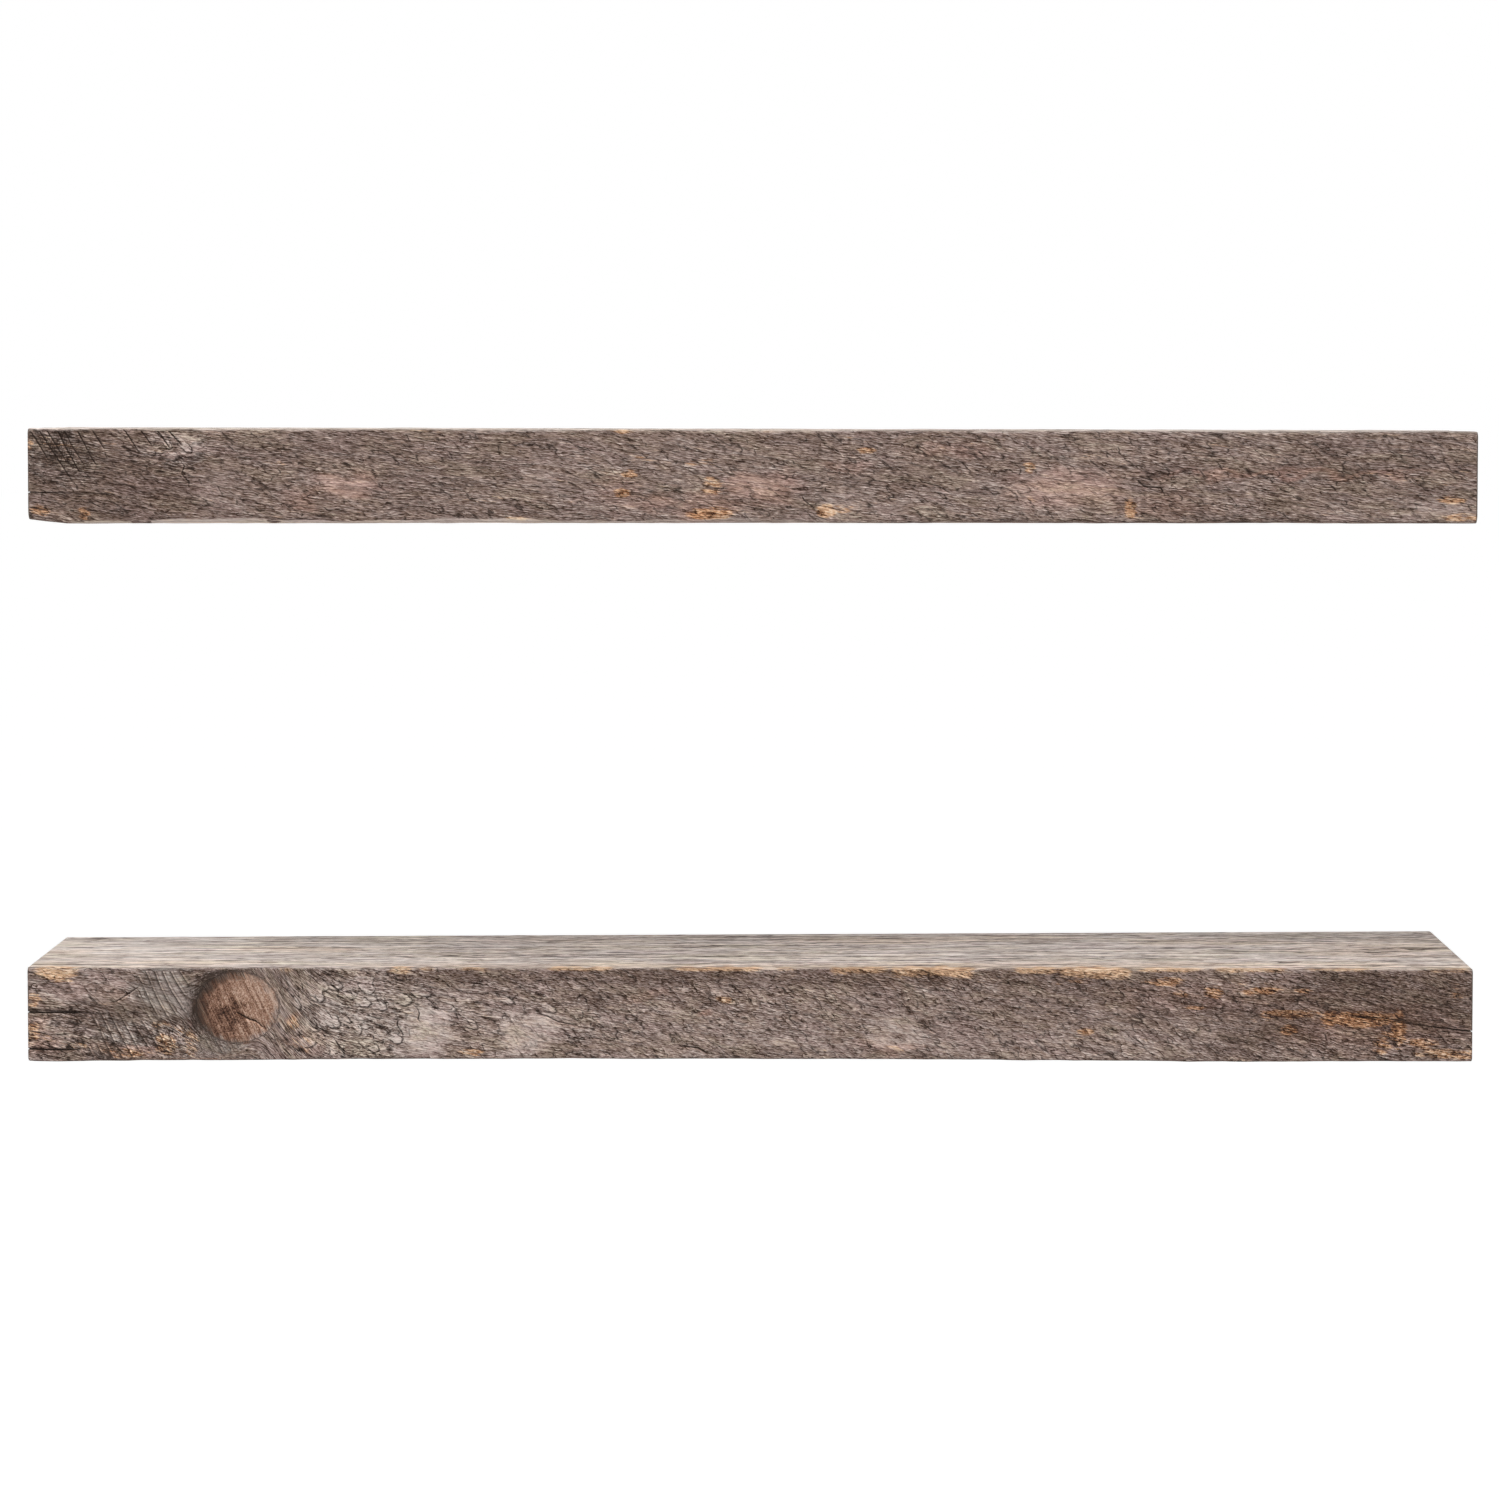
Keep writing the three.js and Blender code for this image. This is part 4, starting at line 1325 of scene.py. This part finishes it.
def crack_group():
    """Thin cracks that slant down across the fibres: 1 in a crack. Noise that is stretched along the slant is
    cut where it passes its middle, which gives wavering lines, and a second noise breaks them up."""
    inputs = {"Place": None, "Slant": 0.6, "Length": 14.0, "Gap": 5.0, "Width": 0.03, "Amount": 0.5}
    group, (place, slant, length, gap, width, amount) = new_group("cracks", inputs, ["Line"])
    along, across, into = parts_of(place)
    straight = place_of((along - across * slant) / length, (across + along * slant) / gap, into / gap)
    jag = noise_at(vector_maths("MULTIPLY", straight, (4.5, 5.0, 5.0)), 1.0, 2.0, output="Color")
    turned = vector_maths("MULTIPLY_ADD", jag, (0.0, 0.55, 0.0), straight)
    from_middle = maths("ABSOLUTE", noise_at(turned, 1.0, 1.0) - 0.5)
    line = maths("SUBTRACT", 1.0, from_middle / width, clamp=True)
    kept = stretch(noise_at(turned, 2.3, 1.0), 4.0) + amount - 0.5
    return close_group(group, line * fit_range(kept, 0.4, 0.7))


CRACKS = crack_group()


def cracks(place, slant, length, gap, width, amount):
    return use_group(CRACKS, place, (slant, length, gap, width, amount))[0]


print("group", CRACKS.name)

# %% Node group: laps


def lap_group():
    """Fibres that lap over each other like shingles. Each is painted paler towards the lip along its foot, a
    painted highlight where the lip faces the light above, with a thin line of painted shade under it. Steps
    are cut in a slope that noise bends, so that the lips wander, part and close."""
    inputs = {"Place": None, "Length": 12.0, "Gap": 2.4, "Bend": 2.0, "Line": 0.2}
    group, (place, length, gap, bend, line_share) = new_group("laps", inputs, ["Body", "Shade"])
    scaled = vector_maths("DIVIDE", place, place_of(length, gap, gap))
    slope = noise_at(scaled, 1.0, 2.5, 0.55) * bend - parts_of(scaled)[1]
    body = maths("FRACT", slope)
    line = maths("SUBTRACT", 1.0, body / line_share, clamp=True)
    return close_group(group, body, line * fit_range(noise_at(scaled, 1.7, 1.0), 0.40, 0.56))


LAPS = lap_group()


def laps(place, length, gap, bend, line_share):
    return use_group(LAPS, place, (length, gap, bend, line_share))


print("group", LAPS.name)

# %% The timber's tones
FRONT_TONES = (
    (0.00, (0.022, 0.011, 0.006)),
    (0.22, (0.104, 0.064, 0.049)),
    (0.50, (0.252, 0.183, 0.156)),
    (0.76, (0.440, 0.343, 0.303)),
    (1.00, (0.720, 0.610, 0.550)),
)
TOP_TONES = (
    (0.00, (0.050, 0.036, 0.030)),
    (0.22, (0.235, 0.190, 0.165)),
    (0.50, (0.475, 0.406, 0.364)),
    (0.78, (0.665, 0.595, 0.545)),
    (1.00, (0.850, 0.790, 0.745)),
)
BARE_TONES = (
    (0.00, (0.024, 0.009, 0.004)),
    (0.25, (0.160, 0.068, 0.030)),
    (0.50, (0.450, 0.235, 0.125)),
    (0.76, (0.720, 0.450, 0.275)),
    (1.00, (0.880, 0.690, 0.520)),
)
ARRIS_TONES = (
    (0.00, (0.060, 0.028, 0.014)),
    (0.25, (0.280, 0.150, 0.080)),
    (0.50, (0.580, 0.350, 0.205)),
    (0.76, (0.840, 0.550, 0.340)),
    (1.00, (0.930, 0.740, 0.550)),
)
KNOT_TONES = (
    (0.00, (0.020, 0.009, 0.005)),
    (0.25, (0.092, 0.043, 0.028)),
    (0.50, (0.230, 0.118, 0.076)),
    (0.76, (0.420, 0.248, 0.172)),
    (1.00, (0.660, 0.470, 0.370)),
)
END_TONES = (
    (0.00, (0.050, 0.034, 0.024)),
    (0.30, (0.150, 0.105, 0.075)),
    (0.60, (0.290, 0.220, 0.165)),
    (1.00, (0.430, 0.350, 0.275)),
)
# the near-black of the painted shade in cracks, splits, saw marks, along flakes' rims and under scales
PAINTED_CRACK_SHADE = (0.018, 0.009, 0.005)


print(len(FRONT_TONES), "tones from crevice to ridge")

# %% Masks that the marks give


def ragged(mark, level, hair, low, high, reach=0.9):
    """A mark whose rim is frayed by the fibres: they carry it further on the ridges than in the hollows."""
    return fit_range(sway(mark, (level, 0.5, reach), (hair, 0.5, reach * 0.8)), low, high)


def thin_line(distance, half_width, hair):
    """1 within the half width of a line, given the distance to it, with a frayed edge."""
    away = sway(maths("ABSOLUTE", distance), (hair, 0.5, 0.35))
    return fit_range(away - half_width, -0.05, 0.22, 1.0, 0.0)


def saw_lines(number, strength, hair, blotch):
    """The saw's scratches: dark lines of painted shade a step apart, with a painted highlight on the lit lip
    beside each, and finer dark lines between.
    """
    moved = sway(number, (hair, 0.5, 0.05))
    strong = fit_range(maths("PINGPONG", moved, 0.5), 0.03, 0.10, 0.85, 0.0)
    fine = fit_range(maths("PINGPONG", 2.0 * moved + 0.31, 0.5), 0.05, 0.16, 0.4, 0.0)
    painted_lip_highlight = fit_range(maths("PINGPONG", moved - 0.2, 0.5), 0.04, 0.13, 1.0, 0.0)
    shown = fit_range(sway(strength, (blotch, 0.5, 0.9), (hair, 0.5, 0.5)), 0.25, 0.8)
    return highest(strong, fine) * shown, painted_lip_highlight * shown


print("masks are ready")

# %% The knot's colour
KNOT_SEAM = (0.034, 0.021, 0.014)


def knot_layer(knot, place_mm, colour, level, hair):
    """Paint the knot over a colour: grainy wood, a dark heart, and a seam round it, darker to the left."""
    across, up, _ = parts_of(knot)
    rim_noise = noise_at(knot, 3.2, 4.0)
    out = sway(vector_maths("LENGTH", knot, output="Value"), (rim_noise, 0.5, 0.55))
    inside = fit_range(sway(out, (hair, 0.5, 0.16)), 0.82, 1.08, 1.0, 0.0)

    grit = stretch(noise_at(place_mm, 1.7, 3.0, 0.8), 2.4)
    rings = maths("SINE", 24.0 * out + 7.0 * rim_noise)
    sides = sway(across, (rim_noise, 0.5, 1.6))
    tone = sway(0.63, (grit, 0.5, 0.95), (level, 0.5, 0.42), (hair, 0.5, 0.35), (rings, 0, 0.04))
    from_heart = vector_maths("LENGTH", vector_maths("ADD", knot, (0.06, 0.12, 0.0)), output="Value")
    heart = fit_range(sway(from_heart, (rim_noise, 0.5, 1.3)), 0.04, 0.48, 0.30, 0.0)
    colour = mix_colours(inside, colour, colour_ramp(tone + 0.22 * sides + 0.07 * up - heart, KNOT_TONES))

    darker = fit_range(across - 0.45 * up, -1.0, 0.35, 1.0, 0.0)
    seam = fit_range(maths("ABSOLUTE", out - 1.02), 0.0, 0.42, 1.0, 0.0) * darker
    seam = ragged(seam, grit, hair, 0.22, 1.0, 1.3) * fit_range(seam, 0.0, 0.2)
    return mix_colours(seam * 0.85, colour, KNOT_SEAM), inside, seam


print("knot layer is ready")

# %% What the timber's graph reads


def read_mark(tree, name):
    """A mark of the skin: its three numbers, or its four."""
    node = add_node(tree, "Attribute", attribute_name=name)
    if len(PLAIN_MARKS[name]) == 3:
        return parts_of(Value(tree, node.outputs["Vector"]))
    parts = add_node(tree, "SeparateColor", {0: Value(tree, node.outputs["Color"])}).outputs
    return [Value(tree, part) for part in (*parts, node.outputs["Alpha"])]


def read_marks(tree):
    """Every mark of the skin by its name."""
    mark = SimpleNamespace()
    mark.grain = take(tree, "Attribute", "Vector", attribute_name="grain")
    mark.knot = take(tree, "Attribute", "Vector", attribute_name="knot")
    mark.bare, mark.pale, mark.dark, mark.arris = read_mark(tree, "wear")
    mark.to_split, mark.split_width, mark.saw_number, mark.saw = read_mark(tree, "lines")
    mark.to_rim, mark.flake_level, mark.flaking, mark.cleft = read_mark(tree, "flakes")
    mark.front, mark.top, mark.end, mark.warm = read_mark(tree, "face")
    mark.past_scale, mark.scale_tip, _ = read_mark(tree, "scales")
    return mark


def weave(grain):
    """Fibres of every size, from wide patches to fuzz, and the laps in which they lie over each other."""
    wood = SimpleNamespace()
    wood.level = fibres(grain, 13.0, 1.7, 3.0)
    wood.hair = fibres(grain, 3.8, 0.55, 2.8)
    wood.fuzz = fibres(grain, 1.9, 0.30, 3.4)
    wood.blotch = fibres(grain, 26.0, 9.0, 2.6)
    wood.tint = fibres(grain, 17.0, 6.5, 3.0)
    wood.streaks = fibres(grain, 90.0, 2.6, 2.6)
    wood.glint = fit_range(fibres(grain, 3.6, 0.42, 3.2), 0.72, 1.05)
    wood.wide_body, wood.wide_shade = laps(grain, 11.0, 2.3, 2.6, 0.20)
    wood.fine_body, wood.fine_shade = laps(grain, 4.6, 1.0, 2.4, 0.34)
    wood.flake_body, wood.flake_shade = laps(grain, 6.5, 3.3, 3.4, 0.13)
    slanted = take(grain.tree, "VectorRotate", 0, {0: grain, "Angle": 0.6}, rotation_type="Z_AXIS")
    wood.bands = fibres(slanted, 20.0, 4.2, 3.0)
    wood.slant_body, wood.slant_shade = laps(slanted, 7.5, 4.0, 2.2, 0.11)
    return wood


print("marks and fibres can be read")

# %% How light the timber is


def timber_tone(mark, wood):
    """The tone from 0, a dark hollow, to 1, and how strongly the fibres show: less in a smooth patch."""
    pale_here = ragged(mark.pale, wood.level, wood.hair, 0.38, 0.66, 0.45)
    pale = 0.45 * pale_here + 0.6 * mark.pale
    calm = 1.0 - 0.45 * pale - 0.35 * maths("MINIMUM", mark.saw, 1.0)
    calm = highest(calm, 0.25) + 0.55 * mark.flaking
    shade = highest(0.75 * wood.fine_shade, wood.wide_shade, 1.3 * wood.flake_shade * mark.flaking)
    busy = highest(mark.flaking, mark.top, 0.5 * mark.dark)
    plainly = maths("SUBTRACT", 1.0, busy, clamp=True) * mark.front
    slanting = sway(
        0.0, (wood.slant_body, 0.5, 0.20), (wood.slant_shade, 0.05, -0.60), (wood.bands, 0.5, 0.17)
    )
    tone = sway(
        slanting * plainly,
        (wood.level, 0.5, 0.08),
        (wood.hair, 0.5, 0.14),
        (wood.fuzz, 0.5, 0.60),
        (wood.wide_body, 0.5, 0.15),
        (wood.fine_body, 0.5, 0.26),
        (shade, 0.14, -0.34),
        (wood.blotch, 0.5, 0.08),
        (wood.glint, 0.12, 0.26),
    )
    # Raised flakes are lighter: by each flake's own level, and by a painted highlight towards the lip of each
    # lap.
    raised = sway(0.0, (mark.flake_level, 0.1, 0.22), (wood.flake_body, 0.30, 0.32))
    painted_lip_highlight = fit_range(mark.past_scale, -1.6, -0.3) * fit_range(mark.past_scale, -0.05, 0.1, 1.0, 0.0)
    # Painted shade darkens the clefts, the hollows between ridges and in checks; painted highlights lighten a
    # scale near its lifted tip and the front top arris, where they face the lamp above.
    tone = sway(
        tone * calm + 0.5,
        (mark.cleft, 0.45, -0.16),
        (pale, 0, 0.29),
        (mark.dark, 0, -0.17),
        (raised * mark.flaking, 0, 1.0),
        (painted_lip_highlight * mark.scale_tip, 0, 0.24),
        (mark.front * mark.top, 0, 0.56),
    )
    return tone, calm


print("tone is ready")

# %% The timber's colour
HUES = (
    (0.10, (1.03, 0.985, 1.0)),
    (0.40, (1.0, 1.0, 1.0)),
    (0.60, (1.04, 0.995, 0.965)),
    (0.90, (1.01, 1.0, 0.92)),
)
PINKER = (1.14, 0.965, 0.90)
BLUER = (0.93, 1.03, 1.04)
TANNED = (1.09, 1.00, 0.91)
REDDER = (1.08, 0.93, 0.80)


def grey_colour(mark, wood, tone):
    """The grey skin of the front, the top and the ends."""
    hue = colour_ramp(wood.tint, HUES)
    colour = tinted(colour_ramp(tone, FRONT_TONES), hue)
    colour = tinted(colour, PINKER, highest(mark.warm, 0.0))
    colour = tinted(colour, BLUER, highest(-1.0 * mark.warm, 0.0))
    top_tone = sway(
        tone,
        (wood.streaks, 0.5, 0.45),
        (wood.level, 0.5, 0.34),
        (wood.hair, 0.5, 0.48),
        (wood.fuzz, 0.5, 0.05),
        (wood.wide_shade, 0.14, -0.45),
    )
    top_colour = tinted(tinted(colour_ramp(top_tone, TOP_TONES), hue), TANNED, mark.warm)
    colour = mix_colours(mark.top, colour, top_colour)
    return mix_colours(mark.end, colour, colour_ramp(tone, END_TONES))


def tan_colour(mark, wood, tone, place_mm, colour):
    """Lay the bare tan wood of the torn patches and of the worn arris over the grey."""
    crumbs = sway(0.0, (noise_at(place_mm, 0.75, 2.0), 0.5, 1.0)) * (2.8 * mark.flaking + 0.5)
    bare_tone = sway(crumbs + 0.50, (tone, 0.5, 1.3))
    bare_colour = tinted(colour_ramp(bare_tone, BARE_TONES), REDDER, highest(mark.warm, 0.0))
    bare_here = ragged(mark.bare, wood.level, wood.hair, 0.50, 1.0, 0.7)
    colour = mix_colours(bare_here, colour, bare_colour)
    arris_tone = sway(0.56, (tone, 0.5, 1.2))
    arris_here = 0.9 * ragged(mark.arris, wood.level, wood.hair, 0.2, 0.8, 0.5)
    return mix_colours(arris_here, colour, colour_ramp(arris_tone, ARRIS_TONES))


print("colour is ready, in", len(HUES), "hues")

# %% Weathered timber
# the tint of the painted highlight on the lips of saw marks and splits that face the lamp above
LIT_EDGE = (1.6, 1.55, 1.5)


def dark_lines(mark, wood, in_knot, calm):
    """A mask of painted shade in cracks, splits and saw marks, along flakes' rims and under scales, and one
    of painted highlights on the lit lips of saw marks and splits.
    """
    hair = wood.hair
    slanting = cracks(mark.grain, 0.55, 15.0, 5.5, 0.022, 0.5)
    lengthwise = cracks(mark.grain, 0.06, 16.0, 3.0, 0.020, 0.5)
    crack = highest(slanting, 0.8 * lengthwise) * (1.0 - 0.8 * in_knot) * (1.0 - 0.4 * mark.top) * calm
    has_split = fit_range(mark.split_width, 0.02, 0.12)
    split = thin_line(mark.to_split, mark.split_width, hair) * has_split
    rim = thin_line(mark.to_rim, 0.03, hair) * fit_range(mark.to_rim, 0.9, 0.3, 0.0, 0.7)
    past = sway(mark.past_scale, (hair, 0.5, 0.5))
    under_lip = 0.85 * fit_range(past, -0.12, 0.05) * fit_range(past, 0.12, 0.5, 1.0, 0.0) * mark.scale_tip
    saw, saw_highlight = saw_lines(mark.saw_number, mark.saw, hair, wood.blotch)
    # a painted highlight on the crack's lower lip, which faces the light from above
    split_highlight = fit_range(maths("ABSOLUTE", mark.to_split + 0.6), 0.1, 0.35, 1.0, 0.0) * has_split
    return highest(crack, split, rim, saw, under_lip), highest(saw_highlight, split_highlight)


def weathered_timber():
    material, tree = new_material("grey_weathered_pine")
    mark = read_marks(tree)
    wood = weave(mark.grain)
    place_mm = object_millimetres(tree)
    tone, calm = timber_tone(mark, wood)
    colour = grey_colour(mark, wood, tone)
    colour, in_knot, seam = knot_layer(mark.knot, place_mm, colour, wood.level, wood.hair)
    colour = tan_colour(mark, wood, tone, place_mm, colour)
    lines, painted_highlight = dark_lines(mark, wood, in_knot, calm)
    # painted highlights on the lit lips of saw marks and splits
    colour = tinted(colour, LIT_EDGE, 0.5 * painted_highlight)
    # the dark lines are painted shade in cracks, splits, saw marks, along flakes' rims and under scales
    colour = mix_colours(maths("MULTIPLY", lines, 0.88, clamp=True), colour, PAINTED_CRACK_SHADE)
    height = sway(
        wood.level,
        (wood.hair, 0, 0.35),
        (wood.fuzz, 0, 0.28),
        (wood.wide_body, 0, 0.5),
        (wood.fine_body, 0, 0.25),
        (wood.flake_body * mark.flaking, 0, 0.9),
        (lines, 0, -1.1),
        (seam, 0, -0.6),
    )
    return finish_material(
        material,
        Base_Color=colour,
        Roughness=fit_range(wood.level, 0.1, 0.9, 0.95, 0.74),
        Specular_IOR_Level=0.25,
        Normal=relief(height, 0.00045),
    )


timber = weathered_timber()
print("material", timber.name)

# %% Routed timber
ROUTED_TONES = (
    (0.34, (0.330, 0.190, 0.090)),
    (0.50, (0.560, 0.370, 0.200)),
    (0.66, (0.700, 0.520, 0.320)),
)


def routed_timber():
    """Fresh wood in the machined channel and bores: pale, with fine grain."""
    material, tree = new_material("routed_timber")
    place = object_millimetres(tree)
    level = fibres(place, 34.0, 0.9, 1.5)
    tone = sway(level, (fibres(place, 90.0, 3.2, 1.6), 0.5, 0.5))
    return finish_material(
        material,
        Base_Color=colour_ramp(tone, ROUTED_TONES),
        Roughness=0.75,
        Normal=relief(level, 0.0004, 0.4),
    )


fresh_timber = routed_timber()
print("material", fresh_timber.name)

# %% Dress the boards
ROUTED_DEPTH = 3.0  # a face further in than this from every outer face is a machined one,
FRONT_ZONE = 20  # unless it is this near the front, where only checks reach in


def dress_board(piece, board):
    mesh = piece.data
    mesh.materials.clear()
    mesh.materials.append(timber)
    mesh.materials.append(fresh_timber)
    depth = -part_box(board["node"])[0].y / MM
    machined = 0
    for polygon in mesh.polygons:
        x, y, z = board_place(board, polygon.center, depth)
        below, _ = depth_below_faces(board, x, y, z, depth)
        is_machined = below > ROUTED_DEPTH and y > FRONT_ZONE - depth
        polygon.material_index = 1 if is_machined else 0
        polygon.use_smooth = not is_machined
        machined += is_machined
    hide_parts(board["node"])
    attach(piece, board["body"])
    return machined


for piece, board in boards.values():
    print(piece.name, "has", dress_board(piece, board), "machined faces")

# %% [markdown]
# ## The bracket and its fasteners
#
# The hidden hardware is plain but real: black powder coat on the bar and rods, zinc on the screws, grey
# nylon on the wall plugs and brass on the inserts. Each has a fine texture of its own, so that it reads as
# its material when a board is drawn off its rods.

# %% Black powder coat, zinc, nylon and brass
ZINC_TONES = ((0.3, (0.50, 0.46, 0.36)), (0.5, (0.62, 0.58, 0.47)), (0.7, (0.70, 0.67, 0.60)))
BRASS_TONES = ((0.35, (0.36, 0.22, 0.07)), (0.6, (0.62, 0.43, 0.16)))


def powder_coat():
    material, tree = new_material("black_powder_coat")
    place = object_millimetres(tree)
    rub = noise_at(place, 0.06, 5.0, 0.7)
    return finish_material(
        material,
        Base_Color=mix_colours(fit_range(rub, 0.35, 0.75), (0.016, 0.016, 0.018), (0.040, 0.040, 0.043)),
        Roughness=fit_range(rub, 0.3, 0.8, 0.42, 0.6),
        Normal=relief(noise_at(place, 1.4, 2.0), 0.0002, 0.35),
    )


def zinc_plate():
    material, tree = new_material("zinc_plate")
    place = object_millimetres(tree)
    return finish_material(
        material,
        Base_Color=colour_ramp(noise_at(place, 0.5, 4.0), ZINC_TONES),
        Metallic=1.0,
        Roughness=fit_range(fibres(place, 3.0, 0.3, 1.6), 0.3, 0.7, 0.24, 0.42),
    )


def moulded_nylon():
    material, tree = new_material("grey_nylon")
    place = object_millimetres(tree)
    grain = noise_at(place, 3.0, 2.0)
    return finish_material(
        material,
        Base_Color=mix_colours(noise_at(place, 0.35, 3.0), (0.25, 0.27, 0.29), (0.34, 0.36, 0.385)),
        Roughness=fit_range(grain, 0.3, 0.7, 0.45, 0.6),
        Subsurface_Weight=0.05,
        Normal=relief(grain, 0.0001, 0.2),
    )


def turned_brass():
    material, tree = new_material("turned_brass")
    place = object_millimetres(tree)
    return finish_material(
        material,
        Base_Color=colour_ramp(noise_at(place, 0.5, 4.0, 0.6), BRASS_TONES),
        Metallic=1.0,
        Roughness=fit_range(fibres(place, 4.0, 0.25, 1.6), 0.3, 0.7, 0.24, 0.4),
    )


HARDWARE_FINISHES = {
    "bracket_bar": powder_coat(),
    "rod": powder_coat(),
    "wall_screw": zinc_plate(),
    "wall_plug": moulded_nylon(),
    "thread_insert": turned_brass(),
    "lock_screw": zinc_plate(),
}


def dress_hardware():
    dressed = 0
    for name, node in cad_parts.items():
        for kind, finish in HARDWARE_FINISHES.items():
            if kind in name:
                node.data.materials.clear()
                node.data.materials.append(finish)
                dressed += 1
    return dressed


print(dress_hardware(), "pieces of hardware finished")
